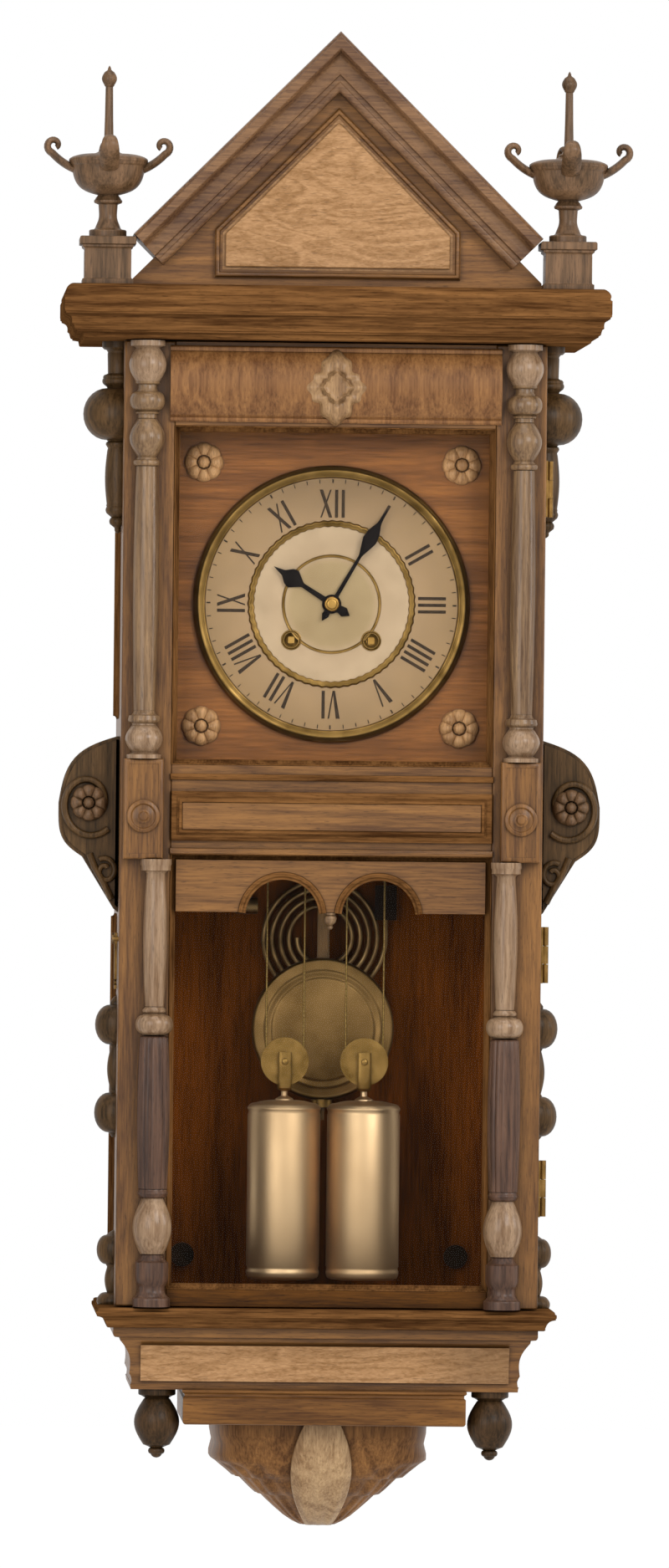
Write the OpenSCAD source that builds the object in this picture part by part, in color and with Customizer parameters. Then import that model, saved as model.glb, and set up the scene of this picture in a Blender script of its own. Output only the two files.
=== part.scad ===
// Weight-driven wall regulator clock in a gabled walnut case.
// Millimetres. The wall is the plane y = 0, the front faces -Y, +Z is up.
// The origin is the middle of the hanger hole, where the clock hangs on its wall hook.
// Inside the modules, heights are measured from the lowest tip of the case.

/* [Case] */
// Half width of the case box
case_half = 158; // [150:1:176]
// Depth of the case box from the wall to the door
case_depth = 150; // [146:1:166]
// Thickness of the side panels
side_t = 12; // [10:1:14]
// Thickness of the backboard
back_t = 12; // [9:1:13]
// Space between the backboard and the wall, filled by the hanger plate
wall_gap = 2; // [2:0.5:3]
// Height of the door opening, shelf to cornice
opening_h = 723; // [715:1:735]

/* [Top] */
// Height of the cornice
cornice_h = 40; // [36:1:46]
// How far the cornice stands out from the case at each side
cornice_out = 46; // [42:1:48]
// How far the cornice stands in front of the case box
cornice_front = 57; // [54:1:60]
// Height above the cornice at which the sloping mouldings meet the plinths
gable_shoulder = 38; // [34:1:44]
// Thickness of the sloping mouldings, square to the slope
rake_t = 32; // [26:1:36]
// Depth of the sloping mouldings from front to back
rake_depth = 56; // [50:1:60]
// Thickness of the gable board
gable_t = 14; // [10:1:18]
// Distance from the edge of the cornice to the plinths
plinth_inset = 13; // [10:1:16]
// Side of the square plinths under the finials
plinth_w = 38; // [34:1:40]
// Height of the plinths
plinth_h = 36; // [30:1:42]
// Height of a turned finial above its plinth
finial_h = 128; // [115:1:140]
// Reach of a finial leaf from the finial's axis
leaf_reach = 50; // [42:1:54]

/* [Base] */
// Height of the corbel from its tip to the stepped block
corbel_h = 88; // [82:1:94]
// Half width of the corbel
corbel_half = 82; // [76:1:88]
// Half width of the carved console in the middle of the corbel
console_half = 24; // [20:1:28]
// Height of the stepped block over the corbel
step_h = 20; // [16:1:24]
// Distance from the side of the case to the stepped block
step_inset = 52; // [46:1:60]
// Height of the light base panel
panel_h = 47; // [42:1:52]
// Distance from the side of the case to the foot of the base panel
panel_inset = 13; // [8:1:16]
// Thickness of the base shelf
shelf_t = 15; // [12:1:18]
// How far the shelf stands out from the case at each side
shelf_out = 14; // [11:1:16]
// Radius of the turned drops under the base panel
drop_r = 17; // [14:1:18]
// Distance of those drops from the side of the case
drop_inset = 33; // [31:1:35]

/* [Door] */
// Thickness of the door frame
door_t = 20; // [18:1:22]
// Width of the door stiles
stile_w = 42; // [38:1:42]
// Height of the bottom rail
bottom_rail_h = 17; // [14:1:20]
// Height of the middle rail
mid_rail_h = 75; // [70:1:80]
// Height of the dial light
dial_light_h = 245; // [238:1:250]
// Height of the top rail
top_rail_h = 67; // [62:1:72]
// Clearance round the door
door_gap = 1; // [0.6:0.1:1.5]
// Thickness of the glass
glass_t = 3; // [2:0.5:4]
// Distance of the upper columns from the side of the case
upper_column_inset = 17; // [16:1:19]
// Distance of the lower columns from the side of the case
lower_column_inset = 27; // [23:1:28]
// Height of the arched board under the middle rail
arch_h = 39; // [36:1:44]
// Radius of the two arches
arch_r = 33; // [28:1:34]

/* [Side ornaments] */
// Distance of the side turnings and ears behind the front of the case
flank_inset = 32; // [30:1:34]
// Reach of the carved ears beyond the case
ear_out = 45; // [40:1:48]
// Height of the carved ears
ear_h = 135; // [128:1:142]
// Thickness of the ears from front to back
ear_t = 40; // [32:1:46]
// Radius of the upper side turnings at their ball
upper_turning_r = 27; // [23:1:28]
// Radius of the lower side turnings at their rings
lower_turning_r = 16; // [13:1:17]

/* [Dial] */
// Radius of the dial with its bezel
dial_r = 104; // [102:1:106]
// Outer radius of the enamel chapter ring
chapter_r = 95; // [92:1:96]
// Inner radius of the chapter ring
chapter_in = 62; // [60:1:64]
// Height of the hour numerals
numeral_h = 21; // [18:1:23]

/* [Movement] */
// Half width of the movement plates
plate_half = 68; // [66:1:72]
// Thickness of the movement plates
plate_t = 2.5; // [2:0.5:2.5]
// Radius of the cable drums
drum_r = 13.5; // [13:0.5:14]
// Distance of the drums from the middle
drum_x = 30; // [29.5:0.1:30.5]

/* [Pendulum and weights] */
// Length of the pendulum from its pin to the middle of the bob
pendulum_len = 372; // [360:1:376]
// Radius of the bob
bob_r = 53; // [48:1:56]
// Thickness of the bob
bob_t = 19; // [15:1:20]
// Radius of a weight
weight_r = 27.5; // [24:0.5:28]
// Height of a weight
weight_h = 134; // [120:1:140]
// Clearance between a run-down weight and the shelf
weight_gap = 19; // [12:1:24]
// Diameter of the weight cables
cable_d = 1.2; // [1:0.1:1.5]

/* [Hidden] */
$fn = 48;
arc_steps = 6;         // flat pieces in a quarter of a moulding
swell_steps = 8;       // rings in a swelling of a turning
fit = 0.05;            // running clearance of a pivot in its hole, on the radius
face_gap = 0.3;        // gap between moving parts that face each other

// Places across the clock
inner_half = case_half - side_t;
light_half = case_half - stile_w;
finial_x = case_half + cornice_out - plinth_inset - plinth_w / 2;
plinth_x = finial_x - plinth_w / 2;
gable_h = plinth_x + gable_shoulder;
step_half = case_half - step_inset;
panel_half = case_half - panel_inset;
drop_x = case_half - drop_inset;
upper_column_x = case_half - upper_column_inset;
lower_column_x = case_half - lower_column_inset;

// Heights from the lowest tip
z_panel = corbel_h + step_h;
z_shelf = z_panel + panel_h;
z_floor = z_shelf + shelf_t;
z_cornice = z_floor + opening_h;
z_eaves = z_cornice + cornice_h;
z_apex = z_eaves + gable_h;
door_z0 = z_floor + door_gap;
door_z1 = z_cornice - door_gap;
light_z0 = door_z0 + bottom_rail_h;
top_rail_z0 = door_z1 - top_rail_h;
mid_rail_z1 = top_rail_z0 - dial_light_h;
mid_rail_z0 = mid_rail_z1 - mid_rail_h;
dial_z = mid_rail_z1 + dial_light_h / 2 - 5;
hanger_z = z_cornice - 30;
ear_z = mid_rail_z0 + mid_rail_h / 2;

// Depths, as distances in front of the wall
back_front = wall_gap + back_t;
door_back = case_depth + door_gap;
door_front = door_back + door_t;
cornice_y = case_depth + cornice_front;
column_y = door_front + 6;
rake_y1 = cornice_y - 10;
rake_y0 = rake_y1 - rake_depth;
gable_y0 = rake_y0 + 14;
gable_y1 = gable_y0 + gable_t;
flank_y = case_depth - flank_inset;
mask_y0 = case_depth - 34;
mask_y1 = mask_y0 + 8;
finial_y = cornice_y - plinth_inset - plinth_w / 2;
z_plinth = z_eaves + plinth_h;

// Movement: depths, and arbor places from the middle of the dial
plate_y0 = mask_y0 - 62;
plate_y1 = plate_y0 + plate_t;
front_y0 = mask_y0 - 6.5;
front_y1 = front_y0 + plate_t;
plate_down = 84;
plate_up = 66;
pivot_r = 1.5;
arbor_r = 2.2;
winder_r = 3.5;
line_r = drum_r + cable_d / 2 + fit;
mesh_gap = 0.3;
centre_pinion = 4.2;
centre_at = [0, 0];
great_r = 36;
train_reach = great_r + centre_pinion + mesh_gap;
drum_drop = -sqrt(train_reach * train_reach - drum_x * drum_x);
time_at = [drum_x, drum_drop];
strike_at = [-drum_x, drum_drop];
centre_r = 23.5;
third_pinion = 3.2;
third_at = (centre_r + third_pinion + mesh_gap) * [cos(130), sin(130)];
third_r = 18.2;
escape_pinion = 2.7;
third_reach = third_r + escape_pinion + mesh_gap;
escape_at = [0, third_at[1] + sqrt(third_reach * third_reach - third_at[0] * third_at[0])];
escape_r = 15.5;
pallet_at = escape_at + [0, 18.4];
pin_wheel_x = -38;
pin_at = [pin_wheel_x, drum_drop + sqrt(train_reach * train_reach - pow(pin_wheel_x + drum_x, 2))];
pin_wheel_r = 15;
hammer_at = [-60, 14];
cannon_r = 3.4;
minute_wheel_r = 10.7;
minute_pinion = 2.8;
minute_at = (cannon_r + minute_wheel_r + mesh_gap) * [cos(-60), sin(-60)];
hour_wheel_r = minute_wheel_r + cannon_r - minute_pinion;
cannon_tube_r = 2.8;
hour_pipe_r = 4.2;
motion_y = front_y1 + 1.3;
hour_wheel_y = motion_y + 3.2;
drum_y0 = plate_y0 + 20;
drum_y1 = plate_y0 + 44;
flange_t = 1.5;
wheel_t = 2;
time_wheel_y = drum_y1 + 3;
strike_wheel_y = drum_y0 - 6;
centre_wheel_y = plate_y0 + 8;
third_wheel_y = plate_y0 + 38;
escape_wheel_y = plate_y0 + 46;
pin_wheel_y = plate_y0 + 26;
cock_half = 14;
cock_y0 = plate_y0 - 26;
crutch_y = plate_y0 - 7.5;
crutch_drop = 62;
crutch_pin_r = 1.4;
pallet_gap = 1.4;
hammer_y = plate_y0 - 8;

// Dial and hands
dial_plate_t = 2;
enamel_y = mask_y1 + dial_plate_t;
enamel_t = 1.4;
enamel_front = enamel_y + enamel_t;
ink_t = 0.2;
winding_hole_r = 5.5;
hand_t = 1.2;
hour_hand_y = enamel_front + 2.6;
minute_hand_y = hour_hand_y + hand_t + 2;
centre_disc_r = chapter_in - 3;
centre_hole_r = 6;
foot_x = 48;
foot_z = 46;
square_end = enamel_front + 1.6;
hour_turn = 302.5;     // the hands' turn from the twelve, in degrees
minute_turn = 30;

// Pendulum, weights, seat and gong
pivot_z = dial_z + pallet_at[1];
pendulum_y = plate_y0 - 14;
rod_w = 9;
rod_t = 5;
bob_z = pivot_z - pendulum_len;
thread_r = 2;
nut_h = 6;
nut_r = 8;
weight_y = (drum_y0 + drum_y1) / 2;
weight_z0 = z_floor + weight_gap;
weight_z1 = weight_z0 + weight_h;
pulley_z = weight_z1 + 30;
pulley_half = 4;
pulley_rim = drum_r + 4.5;
seat_z = dial_z - plate_down;
seat_t = 10;
seat_half = 90;
seat_y0 = plate_y0 - 4;
seat_y1 = mask_y0 - 2;
hook_drop = 7;
hook_x = drum_x - line_r;
bracket_t = 5;
gong_r = 48;
gong_z = seat_z - 3.5 * gong_r;
gong_y = back_front + 8;
gong_rod = 3.6;
gong_pitch = 6.4;
gong_turns = 4.5;
gong_rings = 24;
gong_lead = 14;
gong_block_w = 16;
hammer_r = 6;
hammer_z = gong_z + gong_r / 2;
hammer_bend_z = gong_z + gong_r + 27;
hammer_clear = 1.6;
stirrup_gap = 0.4;
stirrup_t = 1.4;

// Door hinges and latch
knuckle_r = 2.6;
leaf_t = 1.4;
hinge_pin_r = 1.2;
hinge_x = case_half + leaf_t + knuckle_r;
hinge_y = case_depth + door_gap / 2;
hinge_zs = [z_floor + 70, mid_rail_z0 - 90, z_cornice - 129];
hinge_h = 42;
latch_z = mid_rail_z0 - 60;
latch_y = case_depth - 24;
latch_t = 2;
latch_reach = door_back + 8 - latch_y;
latch_stud_r = 1.8;
latch_pivot_r = 2;
lug_end = hinge_h / 3;
leaf_gap = 0.4;

// Case fittings and ornaments
hook_room_r = 13;
wall_screw_x = inner_half - 42;
wall_screw_z = z_floor + 34;
wall_screw_r = 3;
hanger_w = 76;
hanger_h = 40;
hanger_hole_r = 5;
hanger_screw_r = 2.5;
hanger_screw_x = hanger_w / 2 - 9;
rebate = 4;
window_y0 = back_front + 18;
window_y1 = flank_y - upper_turning_r - 1;
windows = [[z_floor + 34, mid_rail_z0 - 46], [mid_rail_z1 + 34, z_cornice - 40]];
gable_panel_z = z_eaves + 7;
panel_reach = gable_h - 63;
panel_cut = panel_reach - 36;
rosette_x = light_half - 19;
rosette_r = 15;
ear_boss_x = case_half + ear_out - 21;
upper_turning_h = 144;
lower_turning_h = 108;
lower_turning_z = 125;
foot_turning_h = 56;
drop_h = 52;
leaf_steps = 8;
cup_r = 29;
corbel_depth = case_depth - 30;
block_half = 15;
boss_z = mid_rail_z0 + 32;
frieze_half = light_half + 8;
lights = [[light_z0, mid_rail_z0], [mid_rail_z1, top_rail_z0]];

// Helpers
function quarter(p, q, flip = false) = [for (i = [0:arc_steps]) let (a = 90 * i / arc_steps)
    flip ? [p[0] + (q[0] - p[0]) * sin(a), p[1] + (q[1] - p[1]) * (1 - cos(a))]
         : [p[0] + (q[0] - p[0]) * (1 - cos(a)), p[1] + (q[1] - p[1]) * sin(a)]];
function swell(r, bulge, z0, z1) = [for (i = [0:swell_steps])
    [r + bulge * sin(180 * i / swell_steps), z0 + (z1 - z0) * i / swell_steps]];
function stretched(points, h) = [for (p = points) [p[0], p[1] * h / points[len(points) - 1][1]]];
function arc(c, r, a0, a1, n = 12) = [for (i = [0:n]) let (a = a0 + (a1 - a0) * i / n)
    [c[0] + r * cos(a), c[1] + r * sin(a)]];
function reversed(list) = [for (i = [len(list) - 1:-1:0]) list[i]];
function mirrored(points) = concat(points, [for (p = reversed(points)) [-p[0], p[1]]]);

module from_tip() translate([0, 0, -hanger_z]) children();
module slab(x0, x1, y0, y1, z0, z1) translate([x0, -y1, z0]) cube([x1 - x0, y1 - y0, z1 - z0]);
module facing(y0, y1) translate([0, -y0, 0]) rotate([90, 0, 0]) linear_extrude(y1 - y0) children();
module along_x(x0, x1) translate([x0, 0, 0]) rotate([90, 0, 90]) linear_extrude(x1 - x0) children();
module rod_y(x, z, r, y0, y1) translate([x, -y0, z]) rotate([90, 0, 0]) cylinder(r = r, h = y1 - y0);
module rod_x(x0, x1, y, z, r) translate([x0, -y, z]) rotate([0, 90, 0]) cylinder(r = r, h = x1 - x0);
module both_sides() {
    children();
    mirror([1, 0, 0]) children();
}
module spindle(points) rotate_extrude()
    polygon(concat([[0, points[0][1]]], points, [[0, points[len(points) - 1][1]]]));

// A block with one moulding round its front and sides; the profile is [inset, height] from the foot up
module mitred_block(half, front, back, z0, profile) {
    z1 = profile[len(profile) - 1][1];
    translate([0, 0, z0]) intersection() {
        along_x(-half, half) polygon(concat([for (p = profile) [p[0] - front, p[1]]],
            [[-back, z1], [-back, profile[0][1]]]));
        facing(back, front) polygon(mirrored([for (p = profile) [half - p[0], p[1]]]));
    }
}

// Case
module backboard() color("saddlebrown") from_tip() difference() {
    slab(-inner_half, inner_half, wall_gap, back_front, z_floor, z_cornice - 12);
    rod_y(0, hanger_z, hook_room_r, wall_gap - 1, back_front - 3);
    for (x = [-1, 1]) rod_y(x * hanger_screw_x, hanger_z, hanger_screw_r, 0, back_front - 2);
    for (x = [-1, 1]) rod_y(x * wall_screw_x, wall_screw_z, wall_screw_r + 0.1, 0, back_front + 1);
}
module side_panels() color("sienna") from_tip() both_sides() difference() {
    slab(inner_half, case_half, 0, case_depth, z_floor, z_cornice);
    for (w = windows) {
        slab(inner_half - 1, case_half + 1, window_y0, window_y1, w[0], w[1]);
        slab(inner_half - 1, inner_half + glass_t + 1, window_y0 - rebate, window_y1 + rebate,
            w[0] - rebate, w[1] + rebate);
    }
}
module side_glass() color([0.8, 0.9, 0.95, 0.4]) from_tip() both_sides() for (w = windows)
    slab(inner_half + 1, inner_half + 1 + glass_t, window_y0 - rebate, window_y1 + rebate,
        w[0] - rebate, w[1] + rebate);
module case_top() color("saddlebrown") from_tip()
    slab(-inner_half, inner_half, wall_gap, case_depth, z_cornice - 12, z_cornice);
module base_shelf() color("#5a3a1c") from_tip()
    mitred_block(case_half + shelf_out, door_front + 12, 0, z_shelf,
        concat([[8, 0]], quarter([8, 2], [0, shelf_t * 0.55], true), [[0, shelf_t - 4], [3, shelf_t - 4],
            [3, shelf_t]]));
module base_panel() color("#ab7c50") from_tip() {
    mitred_block(case_half + 1, door_front - 4, 0, z_panel, concat(
        [[case_half + 1 - panel_half, 0], [case_half + 1 - panel_half, 4]],
        quarter([case_half - 3 - panel_half, 4], [5, panel_h - 8]),
        [[0, panel_h - 8], [0, panel_h]]));
}
module cornice() color("#5f3f22") from_tip() {
    mitred_block(case_half + cornice_out, cornice_y, 0, z_cornice, concat(
        [[16, 0], [14, 4], [9, 6], [9, 12]], quarter([9, 12], [2, 21]),
        [[0, 22], [0, cornice_h - 8]], quarter([0, cornice_h - 8], [8, cornice_h], true)));
}

// Gable
module gable_outline(inset) {
    reach = gable_h - inset * sqrt(2);
    polygon([[-reach, z_eaves], [reach, z_eaves], [0, z_eaves + reach]]);
}
module gable_board() color("#6b4a2b") from_tip() intersection() {
    facing(gable_y0, gable_y1) gable_outline(rake_t * 0.72);
    slab(-plinth_x, plinth_x, 0, cornice_y, z_eaves, z_apex);
}
module gable_panel() color("#bf9162") from_tip() for (step = [[0, 0, 4], [8, 4, 7]])
    facing(gable_y1 + step[1], gable_y1 + step[2]) translate([0, gable_panel_z]) polygon([
        [step[0] - panel_cut, step[0]], [panel_cut - step[0], step[0]],
        [panel_cut - step[0], panel_reach - panel_cut - 0.4 * step[0]], [0, panel_reach - 1.4 * step[0]],
        [step[0] - panel_cut, panel_reach - panel_cut - 0.4 * step[0]]]);
module raking_cornices() color("#6e4d30") from_tip() intersection() {
    union() {
        facing(rake_y0, rake_y1) difference() {
            gable_outline(0);
            gable_outline(rake_t * 0.35);
        }
        facing(rake_y0, rake_y1 - 6) difference() {
            gable_outline(rake_t * 0.3);
            gable_outline(rake_t * 0.72);
        }
        facing(gable_y1, rake_y1 - 14) difference() {
            gable_outline(rake_t * 0.7);
            gable_outline(rake_t);
        }
    }
    slab(-plinth_x, plinth_x, 0, cornice_y, z_eaves, z_apex);
}
// Turned finials with four curled leaves each
function finial_points() = stretched(concat([[14, 0], [14, 4], [9, 8], [7, 12], [7, 24], [10, 26], [10, 29]],
    quarter([8, 31], [cup_r - 1, 54], true), [[cup_r, 56], [cup_r, 59], [15, 62], [6, 64], [3.5, 70], [3.2, 112]],
    swell(3.2, 2, 113, 124), [[1, 128]]), finial_h);
module finial_turning() translate([finial_x, -finial_y, z_plinth]) spindle(finial_points());
module finials() color("#6d5036") from_tip() both_sides() {
    translate([finial_x, -finial_y, 0]) mirror([0, 1, 0]) {
        translate([-plinth_w / 2, -plinth_w / 2, z_eaves]) cube([plinth_w, plinth_w, plinth_h - 6]);
        translate([-plinth_w / 2, -plinth_w / 2 - 2, z_plinth - 7]) cube([plinth_w + 2, plinth_w + 4, 7]);
    }
    finial_turning();
}
function leaf_line(t) = [8 + (leaf_reach - 8) * t, (46 + 10 * t + 14 * pow(t, 3)) * finial_h / 128];
module finial_leaves() color("#6d5036") from_tip() both_sides() difference() {
    translate([finial_x, -finial_y, z_plinth]) for (turn = [0:90:270])
        rotate([90, 0, turn]) translate([0, 0, -6]) linear_extrude(12) polygon(concat(
            [for (i = [0:leaf_steps]) leaf_line(i / leaf_steps) - [0, 4 - 3 * i / leaf_steps]],
            [for (i = [leaf_steps:-1:0]) leaf_line(i / leaf_steps) + [0, 4 - 3 * i / leaf_steps]]));
    finial_turning();
}

// Side ornaments
function hanging(points) = [for (p = reversed(points)) [p[0], -p[1]]];
module side_turnings() color("#4a3526") from_tip() both_sides() intersection() {
    union() {
        translate([case_half + 3, -flank_y, z_cornice]) spindle(hanging(stretched(concat([[13, 0], [13, 5],
            [9, 9], [9, 25], [12, 28], [12, 32]], swell(9, upper_turning_r - 9, 35, 74), [[8, 75], [8, 80]],
            swell(8.5, 1.5, 82, 122), [[8.5, 124], [8.5, 129], [5, 132], [6, 137], [1, 144]]), upper_turning_h)));
        translate([case_half, -flank_y, z_floor + lower_turning_z]) spindle(stretched(concat([[4, 0]],
            swell(5, lower_turning_r - 5, 4, 34), swell(4, 3, 36, 68), swell(5, lower_turning_r - 5, 70, 100),
            [[5, 102], [2, 108]]), lower_turning_h));
        translate([case_half, -flank_y, z_floor]) spindle(stretched(concat([[12, 0], [12, 5], [5, 8]],
            swell(5, 2, 9, 28), swell(6, lower_turning_r - 9, 30, 52), [[2, 56]]), foot_turning_h));
    }
    slab(case_half, case_half + 2 * upper_turning_r, 0, door_back, z_floor, z_cornice);
}
module ear_scrolls() color("#6a4e34") from_tip() both_sides() difference() {
    facing(flank_y - ear_t / 2, flank_y + ear_t / 2) translate([case_half, ear_z]) polygon(concat(
        [[0, 0.4 * ear_h]], quarter([2, 0.4 * ear_h], [ear_out, 4], true),
        quarter([ear_out, -4], [0.6 * ear_out, -0.27 * ear_h]),
        [[0.07 * ear_out, -0.56 * ear_h], [0, -0.58 * ear_h]]));
    rod_y(case_half + 8, ear_z - 8, 5, flank_y - ear_t, flank_y + ear_t);
}
module rosettes() color("#8f6c49") from_tip() {
    both_sides() for (boss = [[rosette_r - 1, 0, 5], [rosette_r * 0.45, 5, 9]])
        rod_y(ear_boss_x, ear_z + 4, boss[0], flank_y + ear_t / 2 + boss[1], flank_y + ear_t / 2 + boss[2]);
    both_sides() for (z = [mid_rail_z1 + 25, top_rail_z0 - 22]) {
        rod_y(rosette_x, z, rosette_r, mask_y1, mask_y1 + 3);
        rod_y(rosette_x, z, rosette_r * 0.45, mask_y1 + 3, mask_y1 + 6);
    }
}

// Corbel under the base
module corbel() color("#74502c") from_tip() {
    slab(-step_half, step_half, 0, door_front - 14, corbel_h - 6, z_panel);
    intersection() {
        facing(0, corbel_depth) polygon(mirrored([[10, 0], [16, 2], [30, 14], [44, 25], [46, 28],
            [corbel_half - 22, 37], [corbel_half - 18, 42], [corbel_half, 50], [corbel_half, corbel_h]]));
        along_x(-corbel_half, corbel_half) polygon(concat([[0, 0], [0, corbel_h], [-corbel_depth, corbel_h],
            [-corbel_depth, corbel_h - 14]], quarter([-corbel_depth + 6, corbel_h - 18], [-60, 20]),
            [[-48, 10], [-48, 0]]));
    }
    intersection() {
        facing(30, corbel_depth + 14) polygon(mirrored(concat([[10, 3]],
            quarter([10, 3], [console_half, 26], true), [[console_half - 4, 50], [console_half, corbel_h]])));
        along_x(-console_half, console_half) polygon(concat([[-30, 3], [-30, corbel_h],
            [-corbel_depth - 14, corbel_h], [-corbel_depth - 14, corbel_h - 10]],
            quarter([-corbel_depth - 6, corbel_h - 16], [-70, 20]), [[-56, 3]]));
    }
}
module turned_drops() color("#5a4634") from_tip() both_sides() translate([drop_x, -door_front + 34, z_panel])
    spindle(hanging(stretched(concat([[drop_r - 3, 0], [drop_r - 3, 4], [9, 7]], swell(10, drop_r - 10, 8, 42),
        [[6, 43]], swell(4, 2, 44, 49), [[1, 52]]), drop_h)));

// Wall fittings
module hanger_plate() color("silver") from_tip() {
    difference() {
        slab(-hanger_w / 2, hanger_w / 2, 0, wall_gap, hanger_z - hanger_h / 2, hanger_z + hanger_h / 2);
        rod_y(0, hanger_z, hanger_hole_r, -1, wall_gap + 1);
    }
    for (x = [-1, 1]) rod_y(x * hanger_screw_x, hanger_z, hanger_screw_r, 0.4, back_front - 2);
}
module wall_screws() color("silver") from_tip() both_sides() {
    rod_y(wall_screw_x, wall_screw_z, wall_screw_r, 0.5, back_front + 4);
    rod_y(wall_screw_x, wall_screw_z, 9, back_front + 4, back_front + 7);
}

// Dial
module dial_mask() color("#6b4a2c") from_tip() difference() {
    slab(-inner_half, inner_half, mask_y0, mask_y1, mid_rail_z1 - 12, top_rail_z0 + 12);
    rod_y(0, dial_z, chapter_in + 24, mask_y0 - 1, mask_y1 + 1);
}
module dial_plate() color("#b08d57") from_tip() {
    difference() {
        rod_y(0, dial_z, dial_r, mask_y1, enamel_y);
        rod_y(0, dial_z, centre_hole_r, mask_y1 - 1, enamel_y + 1);
        for (x = [-1, 1]) rod_y(x * drum_x, dial_z + drum_drop, winding_hole_r, mask_y1 - 1, enamel_y + 1);
    }
    translate([0, -enamel_y, dial_z]) rotate([90, 0, 0]) rotate_extrude() polygon(concat([[chapter_r, 0]],
        quarter([chapter_r + 0.2, 1], [chapter_r + 4, 5]), quarter([chapter_r + 4, 5], [dial_r, 1], true),
        [[dial_r, 0]]));
    for (side = [-1, 1], up = [-1, 1]) rod_y(side * foot_x, dial_z + up * foot_z, 2.5, front_y1, mask_y1);
}
module dial_enamels() color("#d8c4a0") from_tip() {
    difference() {
        rod_y(0, dial_z, chapter_r, enamel_y, enamel_front);
        rod_y(0, dial_z, chapter_in, enamel_y - 1, enamel_front + 1);
    }
    difference() {
        rod_y(0, dial_z, centre_disc_r, enamel_y, enamel_front);
        rod_y(0, dial_z, centre_hole_r, enamel_y - 1, enamel_front + 1);
        for (x = [-1, 1]) rod_y(x * drum_x, dial_z + drum_drop, winding_hole_r, enamel_y - 1, enamel_front + 1);
    }
}

// Roman numerals from strokes: 0 upright, 1 left leaning, 2 right leaning, and 3 both for an X
hour_strokes = ["I", "II", "III", "IIII", "V", "VI", "VII", "VIII", "IX", "X", "XI", "XII"];
function stroke_width(c) = c == "I" ? 5 : 11;
function text_width(s, n) = n == 0 ? 0 : stroke_width(s[n - 1]) + text_width(s, n - 1);
module stroke(lean, w) polygon([[lean - w / 2, 0], [lean + w / 2, 0], [-lean + w / 2, numeral_h],
    [-lean - w / 2, numeral_h]]);
module letter(c) {
    if (c == "I") stroke(0, 2.4);
    if (c == "V") {
        polygon([[-4.6, numeral_h], [-1.6, numeral_h], [1, 0], [-0.8, 0]]);
        polygon([[4.6, numeral_h], [3.4, numeral_h], [0.1, 0], [1, 0]]);
    }
    if (c == "X") {
        stroke(3.6, 2.6);
        stroke(-3.6, 1.2);
    }
}
module dial_numerals() color("#2a1d14") from_tip() {
    numeral_mid = (chapter_in + chapter_r - 6) / 2;
    facing(enamel_front, enamel_front + ink_t) translate([0, dial_z]) {
        for (hour = [1:12]) rotate(-30 * hour) {
            word = hour_strokes[hour - 1];
            for (i = [0:len(word) - 1])
                translate([text_width(word, i) + stroke_width(word[i]) / 2 - text_width(word, len(word)) / 2,
                    numeral_mid - numeral_h / 2]) letter(word[i]);
        }
        for (minute = [0:59]) rotate(6 * minute) translate([-0.4, chapter_r - 4])
            square([minute % 5 == 0 ? 1.2 : 0.7, 3]);
    }
}

// Movement
module toothed(r, teeth, depth) {
    step = 360 / teeth;
    polygon([for (i = [0:teeth - 1], k = [[0, -depth], [0.3, 0], [0.5, 0], [0.8, -depth]])
        (r + k[1]) * [cos((i + k[0]) * step), sin((i + k[0]) * step)]]);
}
module wheel(at, y, t, r, teeth, depth, holes = 5, bore = 0) facing(y, y + t) translate([at[0], dial_z + at[1]])
    difference() {
        toothed(r, teeth, depth);
        if (holes > 0) for (i = [0:holes - 1]) rotate(360 * i / holes + 20)
            translate([r * 0.53, 0]) circle(r = r * 0.24);
        if (bore > 0) circle(r = bore);
    }
module pinion(at, y, t, r, leaves) wheel(at, y, t, r, leaves, 1, 0);
module arbor(at, r, y0, y1) rod_y(at[0], dial_z + at[1], r, y0, y1);
module pivoted(at) {
    arbor(at, arbor_r, plate_y1 + face_gap, front_y0 - face_gap);
    arbor(at, pivot_r, plate_y0, front_y1);
}
module movement_frame() color("#c19a4f") from_tip() {
    difference() {
        union() for (y = [plate_y0, front_y0])
            slab(-plate_half, plate_half, y, y + plate_t, seat_z, dial_z + plate_up);
        for (at = [centre_at, time_at, strike_at, third_at, escape_at, pallet_at, pin_at, hammer_at])
            arbor(at, pivot_r + fit, plate_y0 - 1, front_y1 + 1);
        for (at = [time_at, strike_at]) arbor(at, winder_r + fit, front_y0 - 1, front_y1 + 1);
    }
    for (x = [-1, 1], z = [-plate_down + 10, plate_up - 9])
        rod_y(x * (plate_half - 7), dial_z + z, 4, plate_y1, front_y0);
    arbor(minute_at, pivot_r, front_y1, hour_wheel_y + 3);
    both_sides() slab(cock_half - 4, cock_half, cock_y0, plate_y0, pivot_z - 5, pivot_z + 5);
    slab(-cock_half, cock_half, cock_y0, cock_y0 + 3, pivot_z - 5, pivot_z + 5);
    rod_y(0, pivot_z, pivot_r, cock_y0 + 3, pendulum_y + rod_t);
}
module drum(at) {
    arbor(at, drum_r, drum_y0, drum_y1);
    for (y = [drum_y0, drum_y1 - flange_t]) arbor(at, drum_r + 3.5, y, y + flange_t);
    arbor(at, winder_r, plate_y1 + face_gap, front_y1 + 6);
    arbor(at, pivot_r, plate_y0, plate_y1 + 1);
    translate([at[0], -front_y1 - 6, dial_z + at[1]]) rotate([90, 0, 0]) translate([-2.4, -2.4, 0])
        cube([4.8, 4.8, square_end - front_y1 - 6]);
}
module time_drum() color("#c9a24a") from_tip() drum(time_at);
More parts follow.
